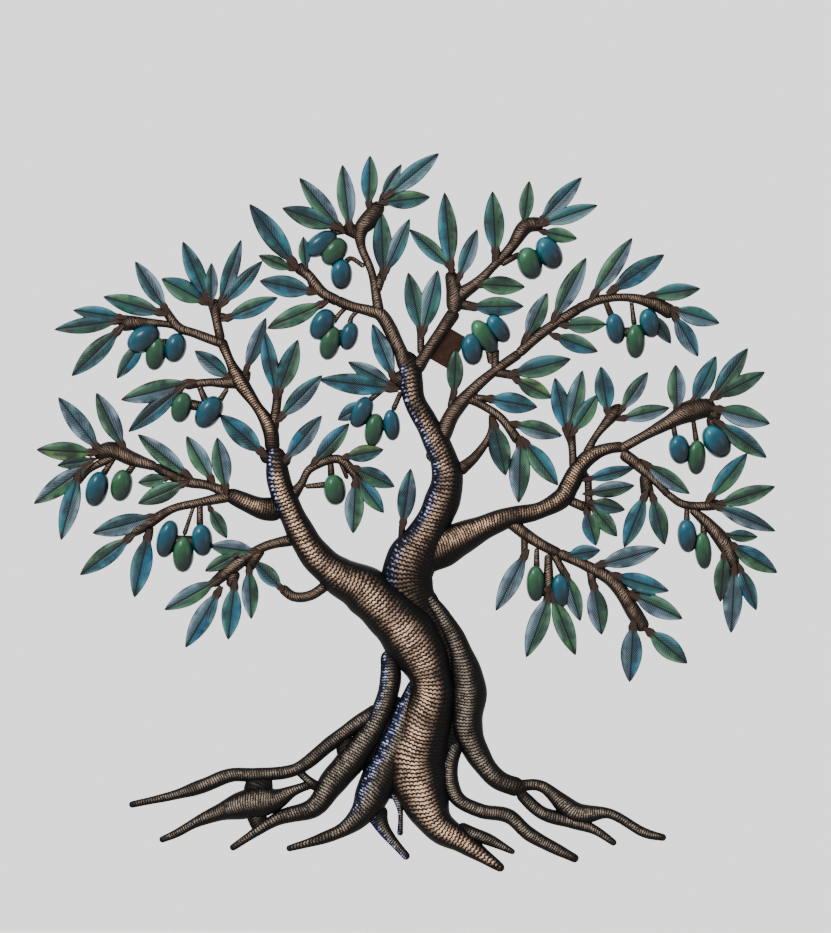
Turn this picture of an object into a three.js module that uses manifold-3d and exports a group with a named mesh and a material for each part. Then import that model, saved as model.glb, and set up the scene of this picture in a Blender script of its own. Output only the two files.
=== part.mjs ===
// Olive tree wall sculpture, cut and hammered from painted sheet steel.
// Millimetres.  +X right, +Z up, the front faces -Y, the wall is the plane y = 0.
// The origin is on the back face of the hanger tab.
import * as THREE from 'three';
import { mergeVertices } from 'three/addons/utils/BufferGeometryUtils.js';
import Module from 'manifold-3d';

// ---- driving sizes -------------------------------------------------------
const GAP = 0.3;            // clear space between neighbouring pieces
const BACK = -1.5;          // y of the rims of the sheet, just off the wall
const CUT_FRONT = -40;      // cutters run from here
const CUT_BACK = 3;         // to here, right through the work
const LIMB_RISE = 0.42;     // how far a limb bulges forward, per unit of its width
const LIMB_RISE_MAX = 15;   // deepest bulge, on the trunk
const CREST = 0.45;         // width of the top of the bulge, as a share of the limb's
const STATION_STEP = 30;    // widest spacing of the sections along a limb
const LEAF_ROOT = 5;        // length of the stalk that a leaf runs into its limb
const LEAF_DEPTH = 2.6;     // folded leaf, rim to ridge
const OLIVE_RISE = 0.42;    // how far a fruit bulges forward, per unit of its width
const OLIVE_SIDES = 7;
const OLIVE_LAYERS = [[1.04, 0], [0.7, 0.85]];  // [share of outline, share of rise]
// Hanger tab: its centre, its size, how its long side leans, and its nail hole from its centre.
const TAB = { x: -4, z: 3, length: 30, width: 25, thickness: 1.2, lean: 60 };
const NAIL_HOLE = { along: 5, across: 8.5, radius: 2.2 };

// Half width of a leaf from its root to its tip, as [share of length, share of half width].
const LEAF_SHAPE = [[0, 0.42], [0.32, 1.04], [0.72, 0.88]];

// ---- cutting pattern -----------------------------------------------------
// limbs:  the bends of each limb, [x, z, width]; a smooth curve runs through them
// leaves: [base x, base z, tip x, tip z, width]
// olives: [x, z, lean in degrees, length, width]

const TRUNK_AND_ROOTS = {
  trunk: {
    limbs: [[[-66, -200, 40], [-30, -238, 46], [-14, -275, 37], [-22, -312, 47], [-33, -341, 60]]],
  },
  bough_left: {
    limbs: [
      [[-143, -80, 16], [-140, -108, 19.5], [-129, -136, 22], [-112, -166, 25], [-91, -185, 32],
       [-64, -202, 40]],
      [[-147, -91, 14], [-155, -83, 8]],
      [[-138, -94, 12], [-132, -86, 8]],
    ],
  },
  bough_centre: {
    limbs: [
      [[-33, -14, 18], [-29.5, -40, 19], [-18, -62, 19], [-5, -90, 24], [-3, -112, 27], [-15, -144, 31],
       [-32, -174, 41], [-35, -194, 43], [-26, -222, 42]],
    ],
  },
  root_right: {
    limbs: [
      [[-6, -219, 14], [7, -244, 20], [15, -277, 29], [14, -307, 26], [22, -330, 20], [38, -351, 17],
       [60, -360, 16]],
      [[56, -357, 10], [76, -358, 10], [103, -379, 17], [131, -380, 9], [158, -395, 8], [177, -400, 6]],
      [[56, -362, 10], [75, -379, 11], [98, -386, 12], [118, -393, 8], [136, -405, 5]],
    ],
  },
  root_inner_right: {
    limbs: [
      [[9, -316, 12], [0, -341, 13], [5, -366, 13], [25, -377.5, 12], [48, -382, 12], [67, -398, 12],
       [105, -418, 7]],
    ],
  },
  root_main: {
    limbs: [
      [[-30, -330, 56], [-22, -364, 44], [-10, -389, 27], [12, -404, 19], [44, -426, 6]],
      [[5, -392, 14], [31, -401, 10], [53, -412, 4]],
    ],
  },
  root_front_left: {
    limbs: [
      [[-44, -322, 28], [-59, -354, 30], [-71, -378, 22], [-86, -392, 13], [-107, -401, 9],
       [-134, -409, 5]],
      [[-62, -374, 22], [-54, -393, 11], [-34, -417, 6]],
      [[-48, -352, 16], [-41, -376, 5], [-41, -398, 5]],
    ],
  },
  root_left_low: {
    limbs: [
      [[-50, -246, 14], [-49, -272, 18], [-58, -302, 18], [-76, -330, 24], [-96, -354, 22],
       [-112, -375, 17], [-142, -384.5, 11], [-180, -409, 5]],
    ],
  },
  root_left_top: {
    limbs: [
      [[-56, -294, 14], [-77, -307, 13], [-98, -322.5, 12], [-126, -343.5, 11], [-158, -348, 11],
       [-180, -348.5, 12], [-202, -357, 12], [-227, -365, 8], [-263, -373, 5]],
      [[-100, -353, 12], [-122, -355.5, 8], [-148, -368, 16], [-170, -378, 17], [-198, -381, 11],
       [-216, -393, 9], [-238, -402, 6]],
      [[-157, -348, 14], [-157, -366, 26], [-156, -380, 24]],
      [[-122, -340, 7], [-121, -356, 7]],
    ],
  },
};

const BOUGHS = {
  bough_upper_left: {
    limbs: [
      [[-35, -17, 14], [-42, 2, 12], [-55, 27, 11.5], [-66, 32, 9.5], [-80, 35.5, 9], [-94, 41, 9]],
    ],
  },
  bough_upper_right: {
    limbs: [[[-29, -18, 13], [-14, 5, 10], [5, 33, 12]]],
  },
  bough_left_upper: {
    limbs: [
      [[-145, -84, 13], [-148, -63, 13], [-159, -45, 9], [-172, -26, 14], [-180, -10, 8], [-188, 9, 9]],
    ],
  },
  bough_left_low: {
    limbs: [[[-136, -130, 20], [-153, -130, 19], [-170, -123.5, 15], [-184, -117, 11]]],
  },
  bough_right: {
    limbs: [
      [[-6, -70, 14], [3, -51, 13.5], [21, -30.5, 9.5], [39, -15.5, 8.5], [58, -2, 8.5]],
      [[37, -18, 7], [37, 2, 7]],
    ],
  },
  bough_right_low: {
    limbs: [
      [[-10, -164, 32], [19, -149.5, 24], [47, -137.5, 17], [72, -132, 14.5], [91, -122, 17],
       [104, -106, 14]],
    ],
  },
};

const FRUIT = {
  olives_left_top: {
    limbs: [[[-246, 4, 12], [-226, 3, 12]], [[-245, 14, 6], [-243, 22, 5]]],
    leaves: [[-252, 6, -273, -23.5, 12.5]],
    olives: [[-251, 9, 35, 30, 21], [-241, -3, 80, 28, 17], [-225, 1.7, 75, 25, 18]],
  },
  olives_left_mid: {
    limbs: [
      [[-216, -44, 9], [-200, -47, 9]],
      [[-205, -31, 4], [-199, -45, 7]],
      [[-185, -35, 4], [-191, -45, 6]],
    ],
    leaves: [[-155, -83, -188.5, -53, 17]],
    olives: [[-220, -47, 75, 26, 17], [-197.5, -51, 55, 30, 20]],
  },
  olive_left_far_outer: {
    limbs: [[[-277, -91, 4], [-285, -103, 6]]],
    olives: [[-289.3, -114, 75, 30, 18.5]],
  },
  olive_left_far_inner: {
    limbs: [[[-257, -92, 4], [-265, -102, 6]]],
    olives: [[-269.2, -111, 78, 27, 18]],
  },
  olives_left_low: {
    limbs: [
      [[-230, -157, 10], [-204, -157, 10]],
      [[-211, -130, 3], [-218, -152, 4]],
      [[-205, -128, 5], [-205, -145, 6]],
    ],
    olives: [
      [-231.7, -154.8, 75, 32, 17], [-218.6, -167.4, 88, 30, 17.5], [-203.2, -155.8, 95, 27, 17.5],
    ],
  },
  olives_upper_left: {
    limbs: [[[-72, 71, 4], [-84, 76, 6]], [[-89, 64, 10], [-94, 80, 10]], [[-84, 97, 4], [-99, 95, 4]]],
    olives: [[-105.5, 87, 35, 30, 18], [-94.7, 80.5, 50, 26, 19], [-89, 62, 90, 26, 18]],
  },
  olives_centre_left: {
    limbs: [[[-79, 32, 4], [-80, 18, 6]], [[-92, 28, 4], [-98, 26, 5]], [[-100, 12, 10], [-83, 12, 10]]],
    olives: [[-104.5, 21, 60, 28, 19], [-98.2, 5.7, 75, 29, 17], [-82.8, 11.3, 75, 24, 15]],
  },
  olives_centre: {
    limbs: [
      [[-42, -39, 4], [-47, -50, 5]],
      [[-56, -33, 4], [-67, -42, 5]],
      [[-68, -58, 9], [-50, -63, 9]],
    ],
    leaves: [[-70, -44, -92.1, -57.5, 13]],
    olives: [[-72.5, -51, 63, 28, 17], [-62.2, -65.5, 80, 28, 15.5], [-47.8, -61.5, 95, 26, 14]],
  },
  olives_centre_right: {
    limbs: [[[34, -12, 6], [31, 8, 8]], [[20, 4, 8], [38, 16, 8]]],
    olives: [[28.4, 10.9, 124, 32, 17], [18.2, 0.6, 95, 27, 18], [39.6, 17.4, 125, 26, 16]],
  },
  olives_top_right: {
    limbs: [[[64, 72, 9], [80, 78, 9]], [[41, 70, 6], [58, 79, 5]]],
    olives: [[65.3, 71, 108, 28, 20], [81.3, 79.4, 119, 29, 20]],
  },
  olives_right: {
    limbs: [[[128, 38, 4], [133, 26, 6]], [[149, 39, 3], [151, 20, 5]], [[136, 14, 8], [163, 16, 8]]],
    leaves: [[166, 28, 181, 5, 11]],
    olives: [[135.6, 17.4, 100, 26, 16], [152, 7.2, 90, 29, 16], [163.6, 22, 105, 25, 17]],
  },
  olives_right_far: {
    limbs: [
      [[183, -62, 4], [185, -73, 5]],
      [[200, -61, 4], [202, -76, 5]],
      [[189, -86, 8], [202, -88, 8]],
    ],
    olives: [[188, -81.5, 100, 25, 17.5], [202, -88, 88, 29, 15.5]],
  },
  olive_right_far_outer: {
    limbs: [[[213, -54, 8], [216, -66, 9]]],
    olives: [[218.4, -75, 123, 30, 21]],
  },
  olives_right_low: {
    limbs: [
      [[194, -133, 4], [194, -145, 6]],
      [[207.5, -139, 4], [208, -154, 6]],
      [[196, -156, 8], [207, -158, 8]],
    ],
    olives: [[194.4, -152.3, 95, 28, 16.3], [207.5, -164.4, 95, 31, 14]],
  },
  olives_low: {
    limbs: [
      [[71, -167, 4], [71, -180, 6]],
      [[72, -197, 10], [90, -197, 10]],
      [[80.5, -167, 7], [81, -206, 9]],
    ],
    leaves: [[80.4, -203, 62.4, -252, 16.5], [85, -204, 102.8, -250.2, 15]],
    olives: [[70.2, -191.4, 90, 30, 15.5], [90.7, -197, 95, 28, 15.4]],
  },
};

const SPRAYS = {
  spray_left_top_outer: {
    limbs: [
      [[-186, 5, 9], [-209, 13.5, 7.5], [-223, 19, 8], [-235, 35, 8]],
      [[-219, 18, 6], [-238, 21.8, 6.5], [-272, 22, 15]],
    ],
    leaves: [
      [-234, 35, -258, 72.7, 14], [-238, 30.6, -284.2, 43.7, 15], [-270.6, 27, -308.9, 32.5, 12],
      [-273.4, 23.5, -324.3, 16.6, 13], [-272.5, 15, -310, -21.5, 15.5],
    ],
  },
  spray_left_top_inner: {
    limbs: [[[-187.5, 7, 8], [-191.5, 26, 8], [-193, 42, 14]], [[-190, 28, 7], [-179, 25, 7]]],
    leaves: [
      [-202, 40, -236.5, 58.5, 17], [-200, 44, -219, 89, 14.5], [-195.5, 39, -195.4, 71.5, 10.5],
      [-187.5, 40, -171, 90.6, 12.5], [-184, 39.5, -153.6, 73, 12], [-181, 26.5, -141, 43, 14],
    ],
  },
  spray_upper_left: {
    limbs: [[[-90, 39, 9], [-103, 46, 9], [-111, 54, 10], [-115, 60, 9], [-126, 69.5, 12]]],
    leaves: [
      [-130.5, 66.5, -157, 77.5, 10.5], [-129, 72, -164.4, 119.6, 17], [-118, 68, -120.2, 93, 10],
      [-114.7, 48, -156.2, 56.6, 17], [-106, 37, -150, 17.5, 15],
    ],
  },
  spray_top_left: {
    limbs: [
      [[-58, 30, 9.5], [-64, 62.7, 7], [-72.5, 84, 7.5], [-73, 98, 12], [-66, 107, 16], [-56, 121, 10]],
      [[-73, 93, 10], [-87, 102, 12]],
      [[-60, 47, 7], [-55, 64, 8]],
    ],
    leaves: [
      [-91, 101, -123.6, 141.2, 14.5], [-95, 101, -137.6, 116.3, 16], [-82.5, 102.5, -88.1, 151.8, 14.5],
      [-66.5, 120, -65.5, 159.4, 13.5], [-55.5, 126, -39.6, 152.3, 9], [-49, 128, -8.9, 161.1, 14.5],
      [-53, 121, -16.2, 125.3, 14.5], [-54.5, 63.5, -56.5, 114, 15.5], [-52.5, 64.5, -33, 107.5, 13],
    ],
  },
  spray_upper_right: {
    limbs: [
      [[3, 30, 12], [4, 45, 15], [0, 65, 9.5]],
      [[0, 40, 14], [21, 54, 9.5], [35, 68, 7.5], [50, 84, 9], [62, 101, 13], [77, 103, 12]],
      [[6, 38, 9], [24, 34.5, 8]],
      [[37, 70, 6], [37, 84, 6]],
    ],
    leaves: [
      [-1, 69, -33.5, 99, 12.5], [0.4, 70, -4.5, 129.2, 15.5], [8, 60.5, 22.4, 99, 12.5],
      [24.5, 53.8, 61.6, 51.6, 15], [19.5, 35.3, 60.5, 35.8, 15.4], [37.3, 80.5, 34.7, 130, 16.2],
      [60.5, 104.5, 65, 138.7, 11.5], [75.2, 106.5, 108.1, 141.6, 14], [78, 103.7, 121, 118.6, 13.3],
      [77.1, 96.5, 104.3, 91.1, 12],
    ],
  },
  leaves_centre_pair: {
    limbs: [[[-24, -4, 6], [-24, 18, 7]]],
    leaves: [[-24, 16.5, -34.3, 63.6, 15.5], [-22, 16.5, -9.9, 65.5, 16]],
  },
  leaf_centre: {
    limbs: [[[0, -48, 6], [3, -33, 5]]],
    leaves: [[3.2, -35, 5, 1, 13.5]],
  },
  leaf_centre_low: {
    limbs: [[[-40, -156, 6], [-39, -140, 5]]],
    leaves: [[-38.5, -141.5, -32.2, -97, 14.5]],
  },
  spray_right: {
    limbs: [[[55, -4, 8], [76, 14.4, 9], [107, 35, 8.5]], [[60, 1, 7], [62.5, 12, 7]]],
    leaves: [
      [63, 11, 79.8, 47, 14.5], [86.5, 28, 111.6, 75.7, 15.5], [94.5, 20, 128, 21, 14],
      [87, 11, 121.3, -1.5, 14],
    ],
  },
  spray_right_upper: {
    limbs: [[[103, 33, 8.5], [122, 41, 8], [145, 43, 7], [167, 38, 10.5], [184, 29, 14]]],
    leaves: [
      [118.5, 46, 149.4, 92, 14.5], [134, 49.5, 175.6, 78.3, 16], [166, 44.8, 205.1, 50.2, 13.5],
      [184.5, 32.5, 221, 21.8, 14.8], [184.5, 26, 203.3, -5.5, 14],
    ],
  },
  spray_right_mid: {
    limbs: [[[34, -18, 7], [55, -21, 8]]],
    leaves: [[53, -19.3, 99.2, -7.3, 16.5], [55, -25, 83.5, -39.5, 14]],
  },
  spray_right_hanging: {
    limbs: [
      [[11, -38, 9], [25, -44.5, 7.5], [42, -56, 7], [57, -76, 9]],
      [[16, -38.5, 6], [35, -40.5, 6]],
      [[6, -100, 13], [21, -87, 8], [33, -69, 6], [34, -52, 5]],
    ],
    leaves: [
      [33.5, -40.2, 71.8, -47, 16.5], [54, -61, 92, -70.5, 14.5], [36.2, -62, 45.5, -103, 17],
      [57.6, -77, 56.2, -125.5, 17], [62, -76.5, 88.5, -111, 15.5],
    ],
  },
  spray_right_fork: {
    limbs: [
      [[105, -108, 14], [109, -91, 12], [123, -82, 9], [143, -79, 9.5]],
      [[101, -97, 7], [100, -78, 7], [97, -64, 13]],
      [[111, -86, 8], [120, -70, 6], [135, -52, 13]],
    ],
    leaves: [
      [95, -65, 85.9, -22.6, 15], [97.5, -62, 108.5, -16.6, 14.5], [101.5, -66, 121, -36.5, 14],
      [129, -49.5, 123.5, -13.4, 15.5], [141.3, -48, 162.2, -17.8, 12.5], [142.2, -56, 180, -47.3, 13],
    ],
  },
  spray_right_far: {
    limbs: [
      [[138, -82, 9], [158, -71, 8], [178, -60, 12], [197, -50, 18], [218, -46.5, 14]],
      [[211, -48, 12], [221, -57, 11]],
    ],
    leaves: [
      [185.9, -48, 184.8, -12, 14.7], [199.8, -42, 218, -4.9, 15], [216.6, -37, 244, 1.6, 14.5],
      [219, -38, 258.1, -18, 14], [220.3, -49, 262.3, -60.5, 17], [221, -61, 259.5, -88.5, 15],
    ],
  },
  spray_right_inner: {
    limbs: [
      [[106, -102, 9], [114, -106, 8]],
      [[97, -123, 8], [113, -130, 9]],
      [[113, -103, 6], [114, -132, 7]],
    ],
    leaves: [
      [114, -105.5, 151.5, -96.3, 11], [115, -117, 151.3, -111, 12.8], [116, -125, 143.5, -131, 12],
      [116.8, -129, 137, -153, 13.5], [112, -133, 119.6, -160.5, 14],
    ],
  },
  spray_right_down: {
    limbs: [
      [[140, -84, 10], [152, -92.7, 10], [168, -107.5, 7], [180, -120, 6]],
      [[152, -91, 8], [164, -96, 8]],
      [[159, -101, 9], [162.4, -121, 12]],
    ],
    leaves: [
      [162.4, -95, 196.5, -118, 13.5], [158.8, -121, 142.5, -162, 15],
      [166.4, -122, 175.8, -159.8, 14.5],
    ],
  },
  spray_right_low_far: {
    limbs: [
      [[177, -117, 6], [190, -126, 7], [207, -128, 8], [222, -126, 9]],
      [[197, -130, 6], [212, -143, 10], [225, -159, 13], [234, -179, 10]],
    ],
    leaves: [
      [213.8, -120.5, 243.6, -84.5, 15], [222, -126, 266.5, -111.8, 14],
      [219.6, -129, 266.8, -148.6, 13], [227, -151.5, 252.3, -153.2, 10],
      [231.8, -160.7, 268.2, -182.6, 15.5], [238, -180, 250.9, -213.4, 12],
      [232.7, -181.5, 230.2, -232, 15.5], [224.3, -169, 221.3, -206.5, 13.5],
    ],
  },
  spray_low_right: {
    limbs: [
      [[88, -166, 9], [114, -178, 9.5], [135, -191, 12], [150, -214, 13], [160, -230, 12]],
      [[115, -178, 7], [117, -195, 7]],
    ],
    leaves: [
      [97, -168, 123.4, -164, 12.5], [124.3, -175.5, 171.5, -162.5, 15.7],
      [136.5, -185, 179.5, -197.6, 14.5], [150, -198, 170, -202, 8], [152, -202, 190.6, -220.3, 16],
      [149.8, -227, 147, -272.1, 17], [164, -231.5, 194.5, -256.9, 16.5],
      [117.8, -194, 124.2, -233.4, 16.3],
    ],
  },
  spray_low_centre: {
    limbs: [
      [[43, -136, 12], [62, -151, 10], [76.7, -160.4, 9], [91, -167.5, 8.5]],
      [[61, -152, 6], [61, -170, 6]],
      [[84, -166, 6], [96, -187, 7]],
    ],
    leaves: [[60.8, -169, 37.5, -213.8, 15], [95.4, -185, 106.8, -222.3, 13.5]],
  },
  spray_arch: {
    limbs: [
      [[-132, -123, 14], [-122, -110, 7], [-114, -97, 7], [-92.5, -89.3, 8], [-79, -100.5, 8],
       [-76, -109, 7]],
      [[-119, -112, 4], [-98, -110, 6]],
      [[-98, -91, 5], [-97, -106, 6]],
      [[-90, -91, 4], [-84, -106, 4]],
    ],
    leaves: [
      [-110, -90.5, -82.5, -60, 14], [-84.5, -87.5, -54.3, -81.6, 13.5],
      [-76.5, -97.5, -45.3, -112.2, 14.5], [-75, -106.5, -54.2, -133.7, 13.5],
      [-77.6, -110, -79.4, -150.5, 15.5],
    ],
    olives: [[-94.4, -114.5, 97, 26, 18.5]],
  },
  spray_centre: {
    limbs: [[[-34, -20, 15], [-48, -30, 14]]],
    leaves: [
      [-47, -21, -63.6, 21.6, 14.5], [-49, -28, -83.7, -9.7, 13], [-49, -31.5, -107.5, -24.2, 16.5],
    ],
  },
  spray_left_mid: {
    limbs: [[[-171, -26, 12], [-185, -27, 9], [-198, -26.7, 7], [-218, -29, 9]]],
    leaves: [
      [-182, -22, -209.2, -0.5, 14], [-214.6, -27.5, -269.7, -41, 17], [-222, -33, -263.6, -67.3, 14],
    ],
  },
  spray_left_fork: {
    limbs: [
      [[-145, -68, 9], [-142, -44, 8], [-141, -33, 9]],
      [[-143, -58, 9], [-137, -53, 8]],
      [[-168, -28, 7], [-166, -16, 7]],
    ],
    leaves: [
      [-140, -34, -124.5, 8.5, 16], [-143, -34, -153, 18, 13], [-137.5, -54, -104.6, -20.6, 14.5],
      [-166.5, -15, -150.7, 26.7, 12],
    ],
  },
  leaf_left_inner: {
    leaves: [[-133.5, -88.5, -105, -53.7, 14.5]],
  },
  spray_left_low_inner: {
    limbs: [[[-181, -118, 11], [-198, -111, 8], [-219, -107, 9], [-243, -95, 8]]],
    leaves: [
      [-216.5, -101, -256, -69, 14], [-233, -105.5, -255.7, -108.8, 11],
      [-219.3, -110, -255.7, -126, 15], [-196, -105, -216, -70.4, 14.5],
      [-184, -112, -190.8, -71.5, 15.5],
    ],
  },
  spray_left_far: {
    limbs: [
      [[-240, -96, 8], [-261, -89, 12], [-277, -82, 14], [-292, -86, 11]],
      [[-274, -87, 8], [-294, -97, 6], [-306, -110, 5]],
    ],
    leaves: [
      [-289.3, -79.5, -321, -38.7, 15.5], [-268.8, -77.5, -289.8, -35, 15.5],
      [-294, -84, -338.8, -81.7, 15], [-294, -90, -322, -94.8, 10], [-297.7, -95.5, -341, -126.2, 15.5],
      [-305, -105, -318.7, -156, 15],
    ],
  },
  spray_left_low_under: {
    limbs: [
      [[-179, -119.5, 10], [-205, -125, 7.5], [-228, -130.5, 7.5], [-250, -144, 9.5], [-265, -151, 9]],
      [[-245, -144, 5], [-246, -155, 5]],
    ],
    leaves: [
      [-245.5, -137.5, -293, -150.2, 16.5], [-263.7, -155, -303.3, -184.5, 15],
      [-247.5, -153.5, -258.6, -202.9, 16.5], [-196, -130.5, -182.7, -154.5, 11],
    ],
  },
  spray_low_left: {
    limbs: [
      [[-127, -155, 10], [-153, -161.6, 8], [-176.6, -177, 11], [-196, -193, 8]],
      [[-154, -162, 9], [-166, -180, 10]],
      [[-176, -180, 11], [-180, -195, 9]],
    ],
    leaves: [
      [-161, -165, -197, -160.5, 14], [-176, -168, -201, -181.4, 11], [-193.4, -190.3, -234, -213, 14.5],
      [-190.6, -199.5, -216.8, -244, 15.5], [-176.6, -194, -181.8, -237.5, 15.5],
      [-164.5, -181, -162.8, -220.6, 13.5],
    ],
  },
  twig_low_left: {
    limbs: [[[-99, -191, 9], [-114, -201, 8.5], [-128, -202, 9], [-139, -194, 8]]],
    leaves: [[-139, -194.5, -160, -173, 13]],
  },
};

// ---- solids --------------------------------------------------------------
const wasm = await Module();
wasm.setup();

// Turns points and triangles into a manifold solid whose faces look outwards.
function solidFrom(position, index) {
  const raw = new THREE.BufferGeometry();
  raw.setAttribute('position', new THREE.Float32BufferAttribute(position, 3));
  raw.setIndex(index);
  const welded = mergeVertices(raw, 1e-5);
  const points = welded.getAttribute('position').array;
  const triangles = Array.from(welded.getIndex().array);
  let volume = 0;
  for (let i = 0; i < triangles.length; i += 3) {
    const [a, b, c] = [0, 1, 2].map((k) => new THREE.Vector3().fromArray(points, triangles[i + k] * 3));
    volume += a.dot(b.cross(c));
  }
  if (volume < 0) {
    triangles.reverse();
  }
  return new wasm.Manifold(new wasm.Mesh({
    numProp: 3,
    vertProperties: new Float32Array(points),
    triVerts: new Uint32Array(triangles),
  }));
}

// A closed solid made by joining rings of equally many points, capped at both ends.
function loft(rings) {
  const sides = rings[0].length;
  const index = [];
  for (let r = 0; r + 1 < rings.length; r += 1) {
    for (let s = 0; s < sides; s += 1) {
      const a = r * sides + s;
      const b = r * sides + ((s + 1) % sides);
      index.push(a, b, b + sides, a, b + sides, a + sides);
    }
  }
  const last = (rings.length - 1) * sides;
  for (let s = 1; s + 1 < sides; s += 1) {
    index.push(0, s + 1, s, last, last + s, last + s + 1);
  }
  return solidFrom(rings.flat(2), index);
}

// Even stations [x, z, width] on the smooth curve through a limb's bends.
function stationsOf(bends) {
  const points = bends.map(([x, z, width]) => new THREE.Vector3(x, z, width));
  const curve = new THREE.CatmullRomCurve3(points, false, 'catmullrom', 0.5);
  const steps = Math.max(points.length - 1, Math.ceil(curve.getLength() / STATION_STEP));
  return curve.getSpacedPoints(steps);
}

// Carries a section along a limb: section(width) lists its corners as [across, y].
function sweep(bends, section, overrun) {
  const stations = stationsOf(bends);
  const last = stations.length - 1;
  const rings = stations.map((here, i) => {
    const before = stations[Math.max(i - 1, 0)];
    const after = stations[Math.min(i + 1, last)];
    const along = new THREE.Vector2(after.x - before.x, after.y - before.y).normalize();
    const shift = (i === last ? overrun : 0) - (i === 0 ? overrun : 0);
    const x = here.x + along.x * shift;
    const z = here.y + along.y * shift;
    return section(here.z).map(([across, y]) => [x - along.y * across, y, z + along.x * across]);
  });
  return loft(rings);
}

// A limb as it is: flat behind, humped in front.
function limb(bends) {
  const humped = (width) => {
    const half = width / 2;
    const rise = Math.min(width * LIMB_RISE, LIMB_RISE_MAX);
    return [[-half, BACK], [-half * CREST, BACK - rise], [half * CREST, BACK - rise], [half, BACK]];
  };
  return sweep(bends, humped, 0);
}

// The same limb widened by the gap and run right through, to cut its neighbours with.
function limbCutter(bends) {
  const slab = (width) => {
    const half = width / 2 + GAP;
    return [[-half, CUT_BACK], [-half, CUT_FRONT], [half, CUT_FRONT], [half, CUT_BACK]];
  };
  return sweep(bends, slab, GAP);
}

// A leaf blade between two depths, `grow` wider than drawn all round.
function leaf([x0, z0, x1, z1, width], front, back, grow) {
  const along = new THREE.Vector2(x1 - x0, z1 - z0).normalize();
  const base = new THREE.Vector2(x0, z0).addScaledVector(along, -LEAF_ROOT);
  const run = new THREE.Vector2(x1, z1).sub(base);
  const side = new THREE.Vector2(-along.y, along.x);
  const at = (share, across) => base.clone().addScaledVector(run, share).addScaledVector(side, across);
  const edge = (sign) => LEAF_SHAPE.map(([share, wide]) => at(share, sign * ((wide * width) / 2 + grow)));
  const left = edge(1);
  const right = edge(-1).reverse();
  left[0].addScaledVector(along, -grow);
  right[right.length - 1].addScaledVector(along, -grow);
  const tip = at(1, 0).addScaledVector(along, grow * 3);
  const outline = [...left, tip, ...right];
  return loft([front, back].map((y) => outline.map((p) => [p.x, y, p.y])));
}

// A ring of points round a fruit, as a share of its full outline.
function olivePoints([x, z, lean, length, width], share, grow, y) {
  const turn = THREE.MathUtils.degToRad(lean);
  return Array.from({ length: OLIVE_SIDES }, (_, i) => {
    const angle = (i * 2 * Math.PI) / OLIVE_SIDES;
    const u = Math.cos(angle) * (length / 2 + grow) * share;
    const v = Math.sin(angle) * (width / 2 + grow) * share;
    return [x + u * Math.cos(turn) - v * Math.sin(turn), y, z + u * Math.sin(turn) + v * Math.cos(turn)];
  });
}

// A fruit: half an egg lying on the sheet.
function olive(fruit) {
  const rise = fruit[4] * OLIVE_RISE;
  return loft(OLIVE_LAYERS.map(([share, up]) => olivePoints(fruit, share, 0, BACK - rise * up)));
}

function oliveCutter(fruit) {
  return loft([CUT_BACK, CUT_FRONT].map((y) => olivePoints(fruit, OLIVE_LAYERS[0][0], GAP, y)));
}

function joined(solids) {
  return solids.reduce((all, next) => all.add(next));
}

function solidOf({ limbs = [], leaves = [], olives = [] }) {
  const blades = leaves.map((row) => leaf(row, BACK - LEAF_DEPTH, BACK, 0));
  return joined([...limbs.map(limb), ...blades, ...olives.map(olive)]);
}

function cutterOf({ limbs = [], leaves = [], olives = [] }) {
  const blades = leaves.map((row) => leaf(row, CUT_FRONT, CUT_BACK, GAP));
  return joined([...limbs.map(limbCutter), ...blades, ...olives.map(oliveCutter)]);
}

function boxesMeet(a, b) {
  return [0, 2].every((k) => a.min[k] <= b.max[k] && b.min[k] <= a.max[k]);
}

// The main body of a piece: slivers that the cuts leave behind are dropped.
function mainBody(solid) {
  return solid.decompose().sort((a, b) => b.volume() - a.volume())[0];
}

// The bare plate behind the boughs that hangs on the nail.
function hangerTab() {
  const turn = THREE.MathUtils.degToRad(TAB.lean);
  const at = (along, across) => [
    TAB.x + along * Math.cos(turn) - across * Math.sin(turn),
    TAB.z + along * Math.sin(turn) + across * Math.cos(turn),
  ];
  const [l, w] = [TAB.length / 2, TAB.width / 2];
  const corners = [at(-l, -w), at(l, -w), at(l, w), at(-l, w)];
  const plate = loft([-TAB.thickness, 0].map((y) => corners.map(([x, z]) => [x, y, z])));
  const [holeX, holeZ] = at(NAIL_HOLE.along, NAIL_HOLE.across);
  const circle = (y) => Array.from({ length: 12 }, (_, i) => {
    const angle = (i * Math.PI) / 6;
    return [holeX + NAIL_HOLE.radius * Math.cos(angle), y, holeZ + NAIL_HOLE.radius * Math.sin(angle)];
  });
  return plate.subtract(loft([circle(CUT_FRONT), circle(CUT_BACK)]));
}

function meshOf(name, solid, color, roughness) {
  const { vertProperties, triVerts } = solid.getMesh();
  const geometry = new THREE.BufferGeometry();
  geometry.setAttribute('position', new THREE.Float32BufferAttribute(Array.from(vertProperties), 3));
  geometry.setIndex(Array.from(triVerts));
  geometry.computeVertexNormals();
  const mesh = new THREE.Mesh(geometry, new THREE.MeshStandardMaterial({ color, roughness, metalness: 0.2 }));
  mesh.name = name;
  return mesh;
}

// ---- assembly ------------------------------------------------------------
// Each piece gives way to every piece before it, so the trunk stays whole.
const LAYERS = [
  { pieces: TRUNK_AND_ROOTS, color: 0x3a302c, roughness: 0.6 },
  { pieces: BOUGHS, color: 0x4a3a32, roughness: 0.6 },
  { pieces: FRUIT, color: 0x1f5f7d, roughness: 0.3 },
  { pieces: SPRAYS, color: 0x3f7f86, roughness: 0.45 },
];

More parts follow.
